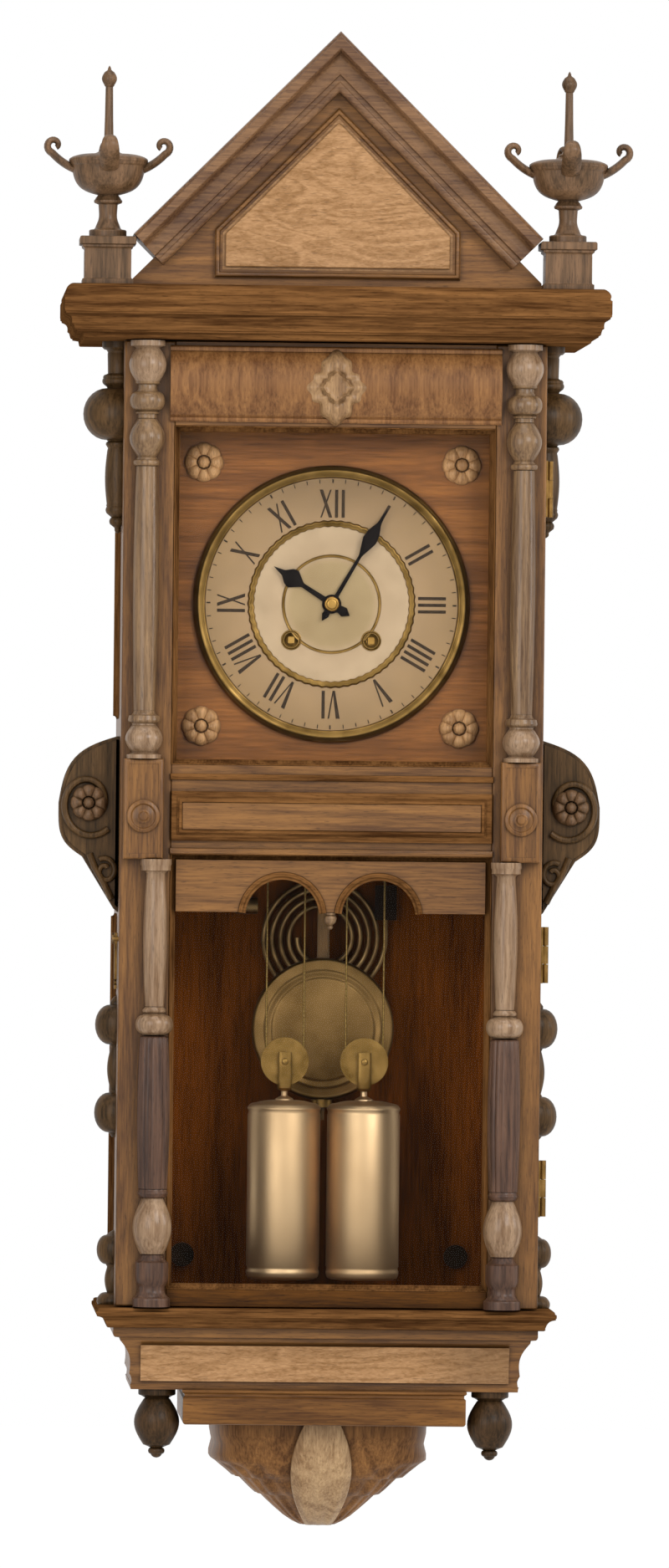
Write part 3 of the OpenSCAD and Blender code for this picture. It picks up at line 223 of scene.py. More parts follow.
def wood(name, light, dark, grain="Z", band=14, gloss=0.42, coat=0.12, burr=0.0, hollow=WAX_AND_SHADE_DARK, shine=0.22,
         fade=None):
    """Timber with its grain along one axis. band is the mm between growth bands; burr bends them into eyes; fade
    gives two distances from the middle, in metres, between which the right end of a board darkens."""
    made, tree = material(name)
    slow = noise(tree, 3 * band, (12 if burr else 42) * band, grain, distortion=0.4 + 2.2 * burr, roughness=0.45)
    bands = calc(tree, "SINE", calc(tree, "MULTIPLY", slow, CONTOURS))
    fibre = noise(tree, 1.6, 5 if burr else 26, grain, detail=3.0, distortion=burr)
    cloud = noise(tree, 60, 140, grain, detail=1.0)
    pore = noise(tree, 0.8, 7, grain, detail=1.0)
    figure = calc(tree, "MULTIPLY_ADD", bands, BAND_DEPTH, fibre)
    tone = calc(tree, "MULTIPLY_ADD", cloud, 0.5, figure)
    deep = (*(c * DEEPEST for c in linear(dark)[:3]), 1.0)
    body = blend(tree, between(tree, tone, *TONES), linear(dark), linear(light))
    body = blend(tree, between(tree, pore, *PORES, 0.0, PORE_DARK), body, deep)
    if fade:
        right = add(tree, "SeparateXYZ", {0: object_place(tree)})
        body = blend(tree, between(tree, right, *fade, 0.0, END_DARK), body, deep)
    # Painted shade in the hollows, together with the wax and dust gathered there, from ambient occlusion
    open_air = add(tree, "AmbientOcclusion", {"Distance": WAX_AND_SHADE_REACH}, "AO", samples=4)
    body = blend(tree, between(tree, open_air, *OPEN, hollow, 0.0), body, deep)
    return covered(made, "BsdfPrincipled", {
        "Base Color": body, "Roughness": between(tree, fibre, 0.0, 1.0, gloss - 0.08, gloss + 0.14),
        "Specular IOR Level": shine, "Normal": bumped(tree, figure, *GRAIN_RELIEF), "Coat Weight": coat,
        "Coat Roughness": SHELLAC_ROUGHNESS})


case_walnut = {grain: wood("walnut with shellac, grain " + grain, "#865c2f", "#503217", grain) for grain in "XZ"}
dark_walnut = {grain: wood("stained walnut, grain " + grain, "#805832", "#442a15", grain, gloss=0.52, coat=0.0,
                           shine=0.0) for grain in "XZ"}
rake_walnut = wood("walnut of the sloping mouldings", "#836040", "#4d3220", "X", band=18)
gable_walnut = wood("walnut of the gable board", "#946636", "#5e3c1e", "X", hollow=0.3)
mask_walnut = wood("walnut board behind the dial", "#9e612d", "#643816", "X", band=20)
frieze_walnut = wood("walnut veneer of the frieze", "#8f6338", "#603b1b", band=9)
pale_burr, base_burr = (wood(name, "#b2885d", "#835c32", "X", band=12, burr=0.8, gloss=0.36, fade=fade)
                        for name, fade in (("burr walnut veneer", None),
                                           ("burr walnut veneer of the base", (0.07, 0.11))))
turned_walnut = wood("turned walnut", "#8a6d4d", "#533b25", band=10, gloss=0.34, coat=0.2)
# Painted highlight: the bulbs and slender shafts of the columns are a paler copy of the turned walnut
highlit_turned = wood("turned walnut with painted highlight", "#9d8165", "#6c5036", band=10, gloss=0.34, coat=0.2)
# Painted shade: the fluted lengths of the lower columns are a darker copy of the turned walnut
shaded_fluted_turned = wood("fluted turned walnut", "#5f4332", "#321f15", band=10)
shaded_walnut = wood("dark turned walnut", "#503922", "#261908", band=10, coat=0.03, shine=0.14)
# Painted shade: the turnings and ears on the case's sides are a darker copy of the turned walnut
shaded_flank_walnut = wood("turned walnut of the flanks", "#62482b", "#30210c", band=10, coat=0.03, shine=0.14)
finial_walnut = wood("turned walnut of the finials", "#77593e", "#3e2b16", band=10, gloss=0.5)
carved_walnut = wood("carved walnut", "#94673a", "#59381b", band=12, coat=0.03, hollow=0.85, shine=0.12)
pale_carved = wood("carved rosettes", "#d19e6f", "#8d623f", band=12, hollow=0.85)
cartouche_walnut = wood("carved cartouche", "#a6835b", "#6f5033", band=12, hollow=0.85)
# Painted highlight: the tongue is a paler copy of the carved walnut of the corbel
highlit_tongue_walnut = wood("carved tongue of the corbel", "#bc9b72", "#82613e", band=12, hollow=0.85)
block_walnut = wood("walnut block over the corbel", "#815628", "#4d2e11", "X", band=12, shine=0.14)
# Painted shade: the door's bottom rail is a darker copy of the stained walnut
shaded_rail_walnut = wood("walnut of the door's bottom rail", "#663e11", "#351d04", "X", gloss=0.52, coat=0.0, shine=0.1)
inside_pine = wood("stained pine inside the case", "#6f3706", "#3e1a01", band=20, gloss=0.6, coat=0.0, shine=0.05)
rod_wood = wood("varnished pendulum rod", "#8a6236", "#5c3f1c", band=8)
print("materials so far:", len(bpy.data.materials))

# %% [markdown]
# ## Metal, enamel and glass
# Old lacquered brass has a cloudy tarnish, so its colour and roughness drift together over a centimetre or two.
# The dial is one fired plate whose colour changes with the distance from its centre: a gilt middle, a cream ring
# and a tan chapter ring. Window glass is nearly all transparency with a little reflection at its surface.

# %% Metals
TARNISH = (0.3, 0.7)                   # the cloud's levels from dull to bright


def metal(name, bright, dull, rough, patch=14, metallic=1.0, brushed=False, shine=0.5):
    """Metal with tarnish in patches of that many mm. Fine polishing lines run upright where it is brushed."""
    made, tree = material(name)
    cloud = noise(tree, patch, patch, detail=3.0)
    body = blend(tree, between(tree, cloud, *TARNISH), linear(dull), linear(bright))
    lines = noise(tree, 0.5, 30 if brushed else 0.5)
    return covered(made, "BsdfPrincipled", {
        "Base Color": body, "Metallic": metallic,
        "Roughness": between(tree, cloud, *TARNISH, rough + 0.12, rough - 0.06),
        "Specular IOR Level": shine, "Normal": bumped(tree, lines, *POLISH_RELIEF)})


brass = metal("lacquered brass", "#b98f50", "#86622e", 0.34)
aged_brass = metal("tarnished brass", "#8a6a3c", "#5c4420", 0.42)
bob_brass = metal("spun brass of the bob", "#7b5e3a", "#5c4425", 0.44, patch=30)
weight_brass = metal("polished brass sheet of the weights", "#c6a684", "#b59573", 0.44, patch=90, brushed=True)
steel = metal("bright steel", "#a4a6a8", "#6f7174", 0.36)
gong_steel = metal("dull browned gong steel", "#94754f", "#644c31", 0.46)
blued_steel = metal("blued steel of the hands", "#221d1d", "#0f0d0d", 0.4)
black_iron = metal("japanned cast iron", "#24150b", "#150c06", 0.62, metallic=0.0, shine=0.08)
cable_brass = metal("twisted brass wire cable", "#a88a54", "#6c5028", 0.4, patch=1.2)

# %% Dial enamel, paint and glass
MIRROR_SHARE = 0.12                    # of the Fresnel reflection, so that the glass doesn't veil the dial
DIAL_Z = 697.5                         # the dial's middle, mm up from the tip
DIAL_RINGS = ((0.0, "#a48966"), (0.3, "#ad926e"), (0.37, "#bf9f80"), (0.57, "#c2a384"), (0.62, "#a98560"),
              (0.95, "#9c784f"))       # each with its share of the reach
DIAL_REACH, GILT_EDGE, GILT_METAL = 0.1, (0.33, 0.37), 0.85       # metres; shares; how metallic the gilt is
STAIN_LEVELS, STAIN_DARK = (0.35, 0.75), 0.35          # noise where stains set in, and their share of brown
# Painted shade over the top of the dial, between these heights
TOP_SHADE_HEIGHTS, TOP_SHADE_DARK = (0.058, 0.09), 0.55        # metres above the middle


def dial_plate_enamel():
    """The colour depends on r, the distance from the dial's middle: gilt to 36 mm, cream to 60, tan beyond. Painted
    shade browns the top."""
    made, tree = material("fired enamel dial with a gilt middle")
    centred = add(tree, "Mapping", {"Vector": object_place(tree), "Location": (0, 0, -(TIP + DIAL_Z / 1000)),
                                    "Scale": (1, 0, 1)})
    r = add(tree, "VectorMath", {0: centred}, "Value", operation="LENGTH")
    share = calc(tree, "DIVIDE", r, DIAL_REACH)
    ring = add(tree, "ValToRGB", {"Fac": share})
    stops = ring.node.color_ramp.elements
    for place, code in DIAL_RINGS[1:-1]:
        stops.new(place)
    for stop, (place, code) in zip(stops, DIAL_RINGS):
        stop.position, stop.color = place, linear(code)
    stain = between(tree, noise(tree, 25, 25, detail=4.0), *STAIN_LEVELS, 0.0, STAIN_DARK)
    height = add(tree, "SeparateXYZ", {0: centred}, 2)
    # Painted shade: the enamel turns brown towards the top
    top_shade = between(tree, height, *TOP_SHADE_HEIGHTS, 0.0, TOP_SHADE_DARK)
    body = blend(tree, top_shade, blend(tree, stain, ring, linear("#7f6341")), linear("#6b4d2e"))
    return covered(made, "BsdfPrincipled", {
        "Base Color": body, "Metallic": between(tree, share, *GILT_EDGE, GILT_METAL, 0.0), "Roughness": 0.3,
        "Coat Weight": 0.4, "Coat Roughness": 0.1})


def fired_paint():
    """Brown black ceramic paint, a little thinner in places."""
    made, tree = material("fired black paint")
    body = blend(tree, noise(tree, 3, 3), linear("#1c120c"), linear("#4a3626"))
    return covered(made, "BsdfPrincipled", {"Base Color": body, "Roughness": 0.6, "Specular IOR Level": 0.2})


def window_glass():
    """Clear sheet: light goes straight through, and a Fresnel share of it is mirrored where it enters."""
    made, tree = material("old window glass")
    through = add(tree, "BsdfTransparent", {"Color": (0.97, 0.98, 0.96, 1.0)})
    mirror = add(tree, "BsdfGlossy", {"Roughness": 0.03})
    edge = add(tree, "Fresnel", {"IOR": 1.5})
    leaving = add(tree, "NewGeometry", {}, "Backfacing")
    share = calc(tree, "MULTIPLY", edge, between(tree, leaving, 0.0, 1.0, MIRROR_SHARE, 0.0))
    return covered(made, "MixShader", {0: share, 1: through, 2: mirror})


enamel, black_paint, glass = dial_plate_enamel(), fired_paint(), window_glass()
print("materials:", len(bpy.data.materials))

# %% [markdown]
# ## Shapes from arrays
# A turner thinks in beads and coves along a spindle, and a joiner in sections run along a path. Both are small
# functions of arrays here: each returns points and faces, and one function turns a list of such shells into a
# finished object that rides on its body.

# %% Profiles
def profile(start, *steps):
    """Points of a turned or moulded section. (r, h) is a straight step; (r, h, b) an arc that stands b mm out
    of the chord, to the side of larger r when h grows. Full beads are half ellipses, flat arcs half sines."""
    points = [np.array([start], float)]
    for r, h, *bulge in steps:
        first, last = points[-1][-1], np.array((r, h), float)
        if not bulge:
            points.append(last[None])
            continue
        chord = last - first
        length = np.linalg.norm(chord)
        side = np.array((chord[1], -chord[0])) / length
        t = np.linspace(0, 1, 9 if length < 12 else 15)[1:, None]
        along = (1 - np.cos(np.pi * t)) / 2 if abs(bulge[0]) > 0.25 * length else t
        points.append(first + chord * along + side * bulge[0] * np.sin(np.pi * t))
    return np.vstack(points)


# %% Shells
def at(*parts):
    """Points from their coordinates, which are spread over one common grid."""
    return np.stack(np.broadcast_arrays(*parts), -1)


def whole_turn(sides):
    return np.linspace(0, 2 * np.pi, sides, endpoint=False)[None]


def surface(points, round_u=False, round_v=False):
    """Quads between neighbours of a grid of points P[u, v], closed round u or v where asked."""
    index = np.arange(points.shape[0] * points.shape[1]).reshape(points.shape[:2])
    if round_u:
        index = np.vstack([index, index[:1]])
    if round_v:
        index = np.hstack([index, index[:, :1]])
    quads = np.stack([index[:-1, :-1], index[1:, :-1], index[1:, 1:], index[:-1, 1:]], -1)
    return points.reshape(-1, 3), quads.reshape(-1, 4).tolist()


def capped(shell, count):
    """Closes both ends of a shell whose rows have count points."""
    points, faces = shell
    last = len(points) - count
    return points, faces + [list(range(count)), list(range(last + count - 1, last - 1, -1))]


def turned(section, x, y, z=0, sides=48, outward=False, ripple=None):
    """Spindle: P(h, a) is the axis plus r(h) (cos a, sin a) at height h; ripple(h, a) multiplies r. It stands
    upright unless it points outward from the wall."""
    a = whole_turn(sides)
    r, h = section[:, :1], section[:, 1:]
    r = r * (1 if ripple is None else ripple(h, a))
    u, v = r * np.cos(a), r * np.sin(a)
    return surface(at(x + u, y - h, z + v) if outward else at(x + u, y + v, z + h), round_v=True)


def prism(outline, low, high, across=False):
    """An outline of (x, z) carried from depth low to high, or one of (y, z) carried across from x low to high."""
    a, b = np.asarray(outline, float).T
    ends = np.array([[low], [high]], float)
    return capped(surface(at(ends, a, b) if across else at(a, ends, b), round_v=True), len(a))


def board(x0, x1, y0, y1, z0, z1):
    """A straight board between two corners."""
    return prism([(x0, z0), (x1, z0), (x1, z1), (x0, z1)], y0, y1)


def four_cornered(x, y, z):
    """A block with the rows of x and y as its four upright corners, closed at its foot and on top."""
    points, faces = surface(at(x, y, z), round_u=True)
    count = len(z)
    return points, faces + [[i * count for i in range(4)], [(i + 1) * count - 1 for i in (3, 2, 1, 0)]]


def mitred(half, front, z, section):
    """A section of (out, height) run round the front and both sides of a block that stands against the wall."""
    out, h = section.T
    return four_cornered((half + out) * [[-1], [-1], [1], [1]], (front + out) * [[0], [-1], [-1], [0]], z + h)


def square_block(x, y, half, z, section):
    """The section run round all four sides of a square block."""
    out, h = half + section[:, 0], section[:, 1]
    return four_cornered(x + out * [[-1], [1], [1], [-1]], y + out * [[-1], [-1], [1], [1]], z + h)


def unit(vectors):
    return vectors / np.linalg.norm(vectors, axis=1, keepdims=True)


def mitres(path, closed=True):
    """The mitre at each point of a path: the sum of the two edge normals over one plus their product."""
    edge = np.roll(path, -1, 0) - path
    normal = unit(at(-edge[:, 1], edge[:, 0]))
    before = np.roll(normal, 1, 0)
    if not closed:
        normal[-1] = before[-1]
        before[0] = normal[0]
    return (normal + before) / np.maximum(1 + (normal * before).sum(1, keepdims=True), 0.3)


def run(path, section, closed=True):
    """A section of (t, depth) run along a path of (x, z): P(i, j) = path(i) + t(j) m(i), with m the mitre. Positive
    t is to the left of the way."""
    path = np.asarray(path, float)
    mitre = mitres(path, closed)
    t, depth = section[None, :, 0], section[None, :, 1]
    x, z = path[:, :1] + t * mitre[:, :1], path[:, 1:] + t * mitre[:, 1:]
    shell = surface(at(x, -depth, z), round_u=closed, round_v=True)
    return shell if closed else capped(shell, len(section))


def relief(x, z, depth, outline, height, rings=20, let_in=2.0):
    """Carving on a flat ground: P(q, a) = centre + q R(a) (cos a, sin a), standing height(q, a) proud of depth. Its
    back is let into the ground."""
    q, a = np.linspace(0, 1, rings)[:, None], whole_turn(96)
    reach = outline(a)
    front = at(x + q * reach * np.cos(a), -depth - height(q, a), z + q * reach * np.sin(a))
    rim, hub = front[-1:].copy(), front[:1].copy()
    rim[..., 1] = hub[..., 1] = let_in - depth
    return surface(np.concatenate([front, rim, hub]), round_v=True)


def tube(path, wide, thick=None, sides=12, flat=(0, 1, 0)):
    """A rod along a path: round where only wide is given, otherwise wide along flat and thick across it."""
    path = np.asarray(path, float)
    ahead = unit(np.gradient(path, axis=0))
    side = unit(np.cross(ahead, np.cross(np.asarray(flat, float), ahead)))
    up = np.cross(ahead, side)
    a = whole_turn(sides)[..., None]
    wide = np.broadcast_to(wide, len(path))[:, None, None]
    thick = wide if thick is None else np.broadcast_to(thick, len(path))[:, None, None]
    return capped(surface(path[:, None] + wide * np.cos(a) * side[:, None] + thick * np.sin(a) * up[:, None],
                          round_v=True), sides)


def mirrored(shells):
    """The shells and their images across the middle of the clock."""
    return shells + [(points * (-1, 1, 1), faces) for points, faces in shells]


# %% One finished piece
def piece(name, shells, look, body, replaces=None, soft=0.0, sharp=35):
    """Joins shells into one object in the frame's metres, closes seams, turns faces outward and lets it ride."""
    shells = [(np.asarray(points, float), faces) for points, faces in shells]
    starts = np.cumsum([0] + [len(points) for points, _ in shells])
    mesh = bpy.data.meshes.new(name)
    mesh.from_pydata((np.vstack([points for points, _ in shells]) / 1000 + (0, 0, TIP)).tolist(), [],
                     [[i + start for i in face] for (_, faces), start in zip(shells, starts) for face in faces])
    made = placed(name, mesh)
    shell = bmesh.new()
    shell.from_mesh(mesh)
    bmesh.ops.remove_doubles(shell, verts=shell.verts, dist=2e-6)
    bmesh.ops.recalc_face_normals(shell, faces=shell.faces)
    shell.to_mesh(mesh)
    shell.free()
    mesh.shade_smooth()
    mesh.set_sharp_from_angle(angle=math.radians(sharp))
    if soft:
        bevel = made.modifiers.new("worn arris", "BEVEL")
        bevel.width, bevel.segments, bevel.limit_method = soft / 1000, 2, "ANGLE"
        bevel.angle_limit = math.radians(sharp)
    mesh.materials.append(look)
    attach(made, body)
    if replaces:
        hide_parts(replaces)
    print(name, len(mesh.polygons), "faces")
    return made


def dress(look, *nodes):
    """Gives solids that keep their own shape a finish."""
    for node in nodes:
        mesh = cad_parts[node].data
        mesh.materials.clear()
        mesh.materials.append(look)
    print("dressed", *nodes)

# %% [markdown]
# ## The top: cornice, gable and finials
# A cornice is one section planed on boards and mitred round the case. The gable carries the same kind of section
# up its two slopes, so both come from the section helpers and the corners meet as a joiner's mitres do.

# %% Main sizes of case and door, mm
FLOOR, CORNICE, EAVES, APEX = 170.0, 893.0, 933.0, 1124.0
CASE_HALF, DOOR_BACK, DOOR_FRONT = 158.0, 151.0, 171.0
LIGHT_HALF, LOW_LIGHT, MID_RAIL, DIAL_LIGHT, TOP_RAIL = 116.0, 188.0, 505.0, 580.0, 825.0
FINIAL_X, PLINTH_HALF, PLINTH_TOP, FINIAL_Y = 172.0, 19.0, 969.0, -175.0

# %% Cornice
cornice_section = profile((-16, 0), (-14.5, 1.5, 0.5), (-14, 4), (-9.5, 4.6), (-9.5, 5.6), (-8, 6.2), (-7, 10),
                          (-5.6, 11), (-1.2, 18, -2), (-1.2, 19), (-0.2, 19.6), (-0.2, 21), (0, 21.6), (0, 31.5),
                          (-1.2, 32.2), (-1.2, 33.4), (-8, 40, 2.6), (-60, 40))
piece("cornice_moulding", [mitred(204, 207, CORNICE, cornice_section)], dark_walnut["X"], "case",
      "cornice", soft=0.4)

# %% Sloping cornices
# The slopes rise at 45 degrees, so a step of t square to the slope lowers the line by t times root two.
inner_x = FINIAL_X - PLINTH_HALF
slope = [(inner_x, APEX - inner_x), (0, APEX), (-inner_x, APEX - inner_x)]
rake_section = profile((0, 141), (0, 190), (0.8, 193.5), (2.2, 194.6), (3, 197), (9, 197), (10, 195.8), (11, 192.5),
                       (11, 191), (19, 186.5, 2.2), (21, 186), (22.5, 185.8), (23, 183.2), (26, 183),
                       (31.6, 179, -2.5), (32, 172), (32, 170), (22.8, 170), (22.8, 141))
points, faces = run(slope, rake_section, closed=False)
points[:, 0] = np.clip(points[:, 0], -inner_x, inner_x)            # sawn off upright beside the plinths
piece("sloping_cornices", [(points, faces)], rake_walnut, "case", "raking_cornices", soft=0.3)

# %% Gable panel
# A burr veneered panel with a bead round it; its lower corners are cut off upright.
def inset(line, by):
    """An outline moved inwards by that many mm at every edge, for a path that has its inside to the left."""
    return line + by * mitres(line)


panel = np.array([(-92, 940), (92, 940), (92, 976), (0, 1068), (-92, 976)], float)
panel_bead = profile((0, 169), (0, 172.6), (0.8, 174, 0.3), (3.6, 174.2, -1.0), (4.2, 172.8), (6, 172.8), (6, 169))
piece("gable_panel_bead", [run(panel[::-1], panel_bead * (-1, 1))], case_walnut["X"], "case")
piece("gable_panel_veneer", [prism(inset(panel, 3), -172.6, -169), prism(inset(panel, 8), -175.8, -172)],
      pale_burr, "case", "gable_panel", soft=0.9)
dress(gable_walnut, "gable_board")

# %% Plinths
plinth_section = profile((0, 0), (0, 4), (-1.6, 6, -0.6), (-1.6, 25), (0, 28, -0.8), (0, 29.6), (2, 30.2), (2, 34.5),
                         (0.6, 36, 0.4))

# %% Finials
# A base ring, a thin stem with a collar, a tulip cup that flares to a flat rim, and a long needle. Four leaves
# spring from under the cup and end in small curls.
finial_section = profile((0, 0), (14, 0), (14, 4), (12.4, 5.2, 0.5), (9, 8, -0.9), (7.4, 12), (6.8, 18, -0.3),
                         (7.2, 24), (9.4, 25), (10, 27.6, 0.9), (9, 29.4), (7.6, 31), (27.6, 53, 6.2), (29, 55.4, 0.3),
                         (29, 58.4, 0.6), (27, 59.6), (15, 61.8, 0.6), (7, 64, -0.8), (6, 66, 0.8), (3.6, 70, -0.6),
                         (3.1, 90), (2.8, 112), (3.8, 113.4, 0.2), (3.6, 123, 2.0), (1.4, 124.6), (0, 128, 0.3))
piece("corner_finials", mirrored([square_block(FINIAL_X, FINIAL_Y, PLINTH_HALF, EAVES, plinth_section),
                                  turned(finial_section, FINIAL_X, FINIAL_Y, PLINTH_TOP)]),
      finial_walnut, "case", "finials", soft=0.3)


def finial_leaf(turn):
    """A tapering arm from the cup out to 42 mm, then a small curl: the curl is a spiral of falling radius."""
    t = np.linspace(0, 1, 14)
    arm = at(7 + 35 * t, 46 + 6 * t + 10 * t ** 3)
    a = np.linspace(0.35, 5.6, 18)
    curl = (40.6, 68.0) + (5.9 - 0.7 * (a - 0.35))[:, None] * at(np.sin(a), -np.cos(a))
    out, up = np.vstack([arm, curl[1:]]).T
    way = np.array((math.cos(turn), math.sin(turn)))
    path = at(FINIAL_X + out * way[0], FINIAL_Y + out * way[1], PLINTH_TOP + up)
    s = np.linspace(0, 1, len(path))
    return tube(path, 1.8 + 5.6 * np.sin(np.pi * np.clip(0.25 + 0.75 * s, 0, 1)) ** 1.5, 3.6 - 1.6 * s,
                flat=(-way[1], way[0], 0))


piece("finial_curls", mirrored([finial_leaf(math.pi / 2 * k) for k in range(4)]), finial_walnut, "case",
      "finial_leaves", sharp=60)

# %% [markdown]
# ## The sides: half turnings, ears and windows
# Turnings planted on the side of the case are split down the middle, so a full spindle is worked out and every
# point behind the glue line is pushed onto it.

# %% Split turnings
def split(shell, side=None, front=None):
    """Presses the points of a turning that lie behind a glue line onto it: x at least side, y at most -front."""
    points, faces = shell
    points = points.copy()
    if side is not None:
        points[:, 0] = np.maximum(points[:, 0], side)
    if front is not None:
        points[:, 1] = np.minimum(points[:, 1], -front)
    return points, faces


FLANK_Y = -118.0                       # the axis of the split turnings, out from the wall
upper_side = profile((0, 0), (13, 0), (13, -4.6), (11.5, -6), (9, -9, 1), (8.6, -24), (10.4, -25), (12, -27.5, -0.8),
                     (12, -32, -0.8), (9.4, -34), (9, -35), (9, -74, -17.8), (8, -75), (9.6, -77.5, -0.6), (8, -80),
                     (8.5, -82), (8.5, -122, -1.5), (8.5, -124, -0.3), (8.5, -129, -0.8), (5, -132), (6, -137, -0.9),
                     (2.4, -140), (0, -144, -1))
lower_side = profile((0, 0), (2.4, 0.6, -1), (5, 4), (5, 34, 11), (4, 36), (4, 68, 2.6), (5, 70), (5, 100, 11),
                     (5, 102), (2, 106), (0, 108, -0.6))
foot_side = profile((0, 0), (12, 0), (12, 5, 0.6), (5, 9, 1.4), (5, 28, 1.8), (6, 30), (6, 52, 7), (2, 55), (0, 56))
piece("side_spindles", mirrored([split(turned(section, x, FLANK_Y, z, sides=56), side=CASE_HALF)
                                 for section, x, z in ((upper_side, 161, CORNICE), (lower_side, 158, FLOOR + 125),
                                                       (foot_side, 158, FLOOR))]),
      shaded_flank_walnut, "case", "side_turnings")

# %% Carved ears
# Each ear is a scroll bracket: a core sawn to the outline, a rib round both faces, and two volutes on a stem. The
# larger one winds in to a rosette.
EAR_Z = 542.5
ear_line = profile((158, -78), (161, -75.5), (185, -36.5), (203, -4, 6.3), (203, 4), (160, 54, 13),
                   (158, 54)) + (0, EAR_Z)


def volute(x, z, reach, turns, start, depth, wide):
    """A raised spiral rib whose radius falls evenly from reach to a third of it."""
    a = np.linspace(start, start + 2 * np.pi * turns, int(40 * turns))
    r = reach * (1 - 0.67 * np.linspace(0, 1, len(a)))
    px = np.clip(x + 0.86 * r * np.cos(a), CASE_HALF + 2, 201)
    return tube(at(px, -depth, z + r * np.sin(a)), wide, wide * 0.8, sides=10)


spine = np.array([(163, -68), (169, -56), (176, -44), (180, -34)]) + (0, EAR_Z)
ear_shells = [prism(inset(ear_line, 2.6), -137, -99), prism(ear_line, -134.5, -128), prism(ear_line, -108, -101.5),
              volute(181, EAR_Z + 4, 26, 1.25, -2.3, 138, 3.4), volute(168, EAR_Z - 47, 10, 1.2, 1.0, 137.6, 2.8),
              tube(at(spine[:, 0], -137.6, spine[:, 1]), 3.2, 2.6)]
piece("carved_ears", mirrored(ear_shells), shaded_flank_walnut, "case", "ear_scrolls", soft=1.2)

# %% Side windows
window_bead = profile((0, 158), (0, 160.2), (1.6, 161.2, 0.5), (4, 158.6, 0.8), (4, 158))


def side_window(z0, z1):
    """A bead round an opening in the side: worked out in the plane of (depth, z) and then stood up on the side."""
    points, faces = run([(32, z0), (32, z1), (92, z1), (92, z0)], window_bead)
    return at(-points[:, 1], -points[:, 0], points[:, 2]), faces


piece("side_window_beads", mirrored([side_window(204, 459), side_window(614, 853)]), dark_walnut["Z"], "case",
      soft=0.2)
dress(case_walnut["Z"], "side_panels")
dress(inside_pine, "backboard", "case_top", "seat_board")
dress(glass, "side_glass", "door_glass")

# %% [markdown]
# ## The base: shelf, panel, corbel and drops
# Below the door the case steps in: a moulded shelf, a veneered panel, a plain block, then a corbel carved with a
# tongue down its middle. The corbel's cross-section is a rounded rectangle that shrinks towards the tip.

# %% Shelf, panel and block
shelf_section = profile((-9, 0), (-8, 0.6), (-8, 2), (-0.6, 8.6, -1.8), (-0.6, 9.6), (0, 10), (0, 12.2),
                        (-1.2, 12.8), (-3, 15, 0.7), (-60, 15))
piece("base_shelf_moulding", [mitred(172, 183, 155, shelf_section)], dark_walnut["X"], "case",
      "base_shelf", soft=0.3)
BASE_Z, BASE_FRONT = 108.0, 167.0
panel_section = profile((-14, 0), (-13.6, 3), (-14, 4, 0.4), (-12.6, 12, -1), (-5.4, 37, -3.6), (-5, 39),
                        (-1.4, 39.6), (-0.4, 40.6), (0, 42), (0, 47), (-40, 47))
piece("base_panel_block", [mitred(159, BASE_FRONT, BASE_Z, panel_section)], case_walnut["X"], "case",
      "base_panel", soft=0.4)

# %% Veneer on the panel
# A sheet bent to the cove: its front is a grid of across by up points, its back the same grid 3.5 mm behind.
across, up, thickness = 90, 12, 3.5
t = np.linspace(0, 1, up)[:, None]
cove = (-13.2, 7) * (1 - t) + (-6.4, 34) * t + (1.0, -0.25) * (2.2 - 3.6 * np.sin(np.pi * t))
x = np.linspace(-138, 138, across)[:, None]
front, faces = surface(at(x, -BASE_FRONT - cove[:, 0], BASE_Z + cove[:, 1]))
count = len(front)
edge = np.concatenate([np.arange(up), np.arange(1, across) * up + up - 1,
                       count - up + np.arange(up - 2, -1, -1), np.arange(across - 2, 0, -1) * up])
walls = np.stack([edge, np.roll(edge, -1), np.roll(edge, -1) + count, edge + count], -1).tolist()
piece("base_panel_veneer", [(np.vstack([front, front + (0, thickness, 0)]),
                             faces + [[i + count for i in face] for face in faces] + walls)],
      base_burr, "case")

# %% Corbel
CORBEL_SIDES = 61


def corbel_body():
    """P(h, a): half-width w(h) and depth d(h) times a rounded rectangle, powers 0.4 of cos and sin. The lower half
    is grooved."""
    h, wide, deep = np.array([
        [0, 1.5, 4, 8, 14, 20, 24.5, 25.5, 29, 34, 38, 39, 43, 47, 50, 52, 56, 64, 72, 82, 88],
        [0, 15, 20, 26, 33, 39.5, 44, 48, 52, 57, 61, 66, 70.5, 75.5, 79, 82, 82, 80, 81.6, 82, 82],
        [0, 50, 55, 60, 66, 73, 78, 82, 87, 92, 95, 99, 103, 106, 108, 109, 111, 115, 119, 120, 120]])[..., None]
    a = np.linspace(0, np.pi, CORBEL_SIDES)
    c, s = np.cos(a), np.sin(a)
    x, y = np.sign(c) * np.abs(c) ** 0.4, s ** 0.4
    groove = 1 - 0.03 * np.cos(10 * a) ** 4 * (h < 50)
    return at(wide * x * groove, -deep * y * groove, h)


points, faces = surface(corbel_body(), round_v=True)
faces.append(list(range(len(points) - CORBEL_SIDES, len(points))))
piece("corbel_carving", [(points, faces)], carved_walnut, "case", "corbel", sharp=55)
step_section = profile((-2, 0), (0, 2, 0.4), (0, 20), (-1.2, 21), (-1.2, 23), (0.6, 24.2), (0.6, 26), (-40, 26))
piece("corbel_block", [mitred(106, 157, 82, step_section)], block_walnut, "case", soft=0.4)

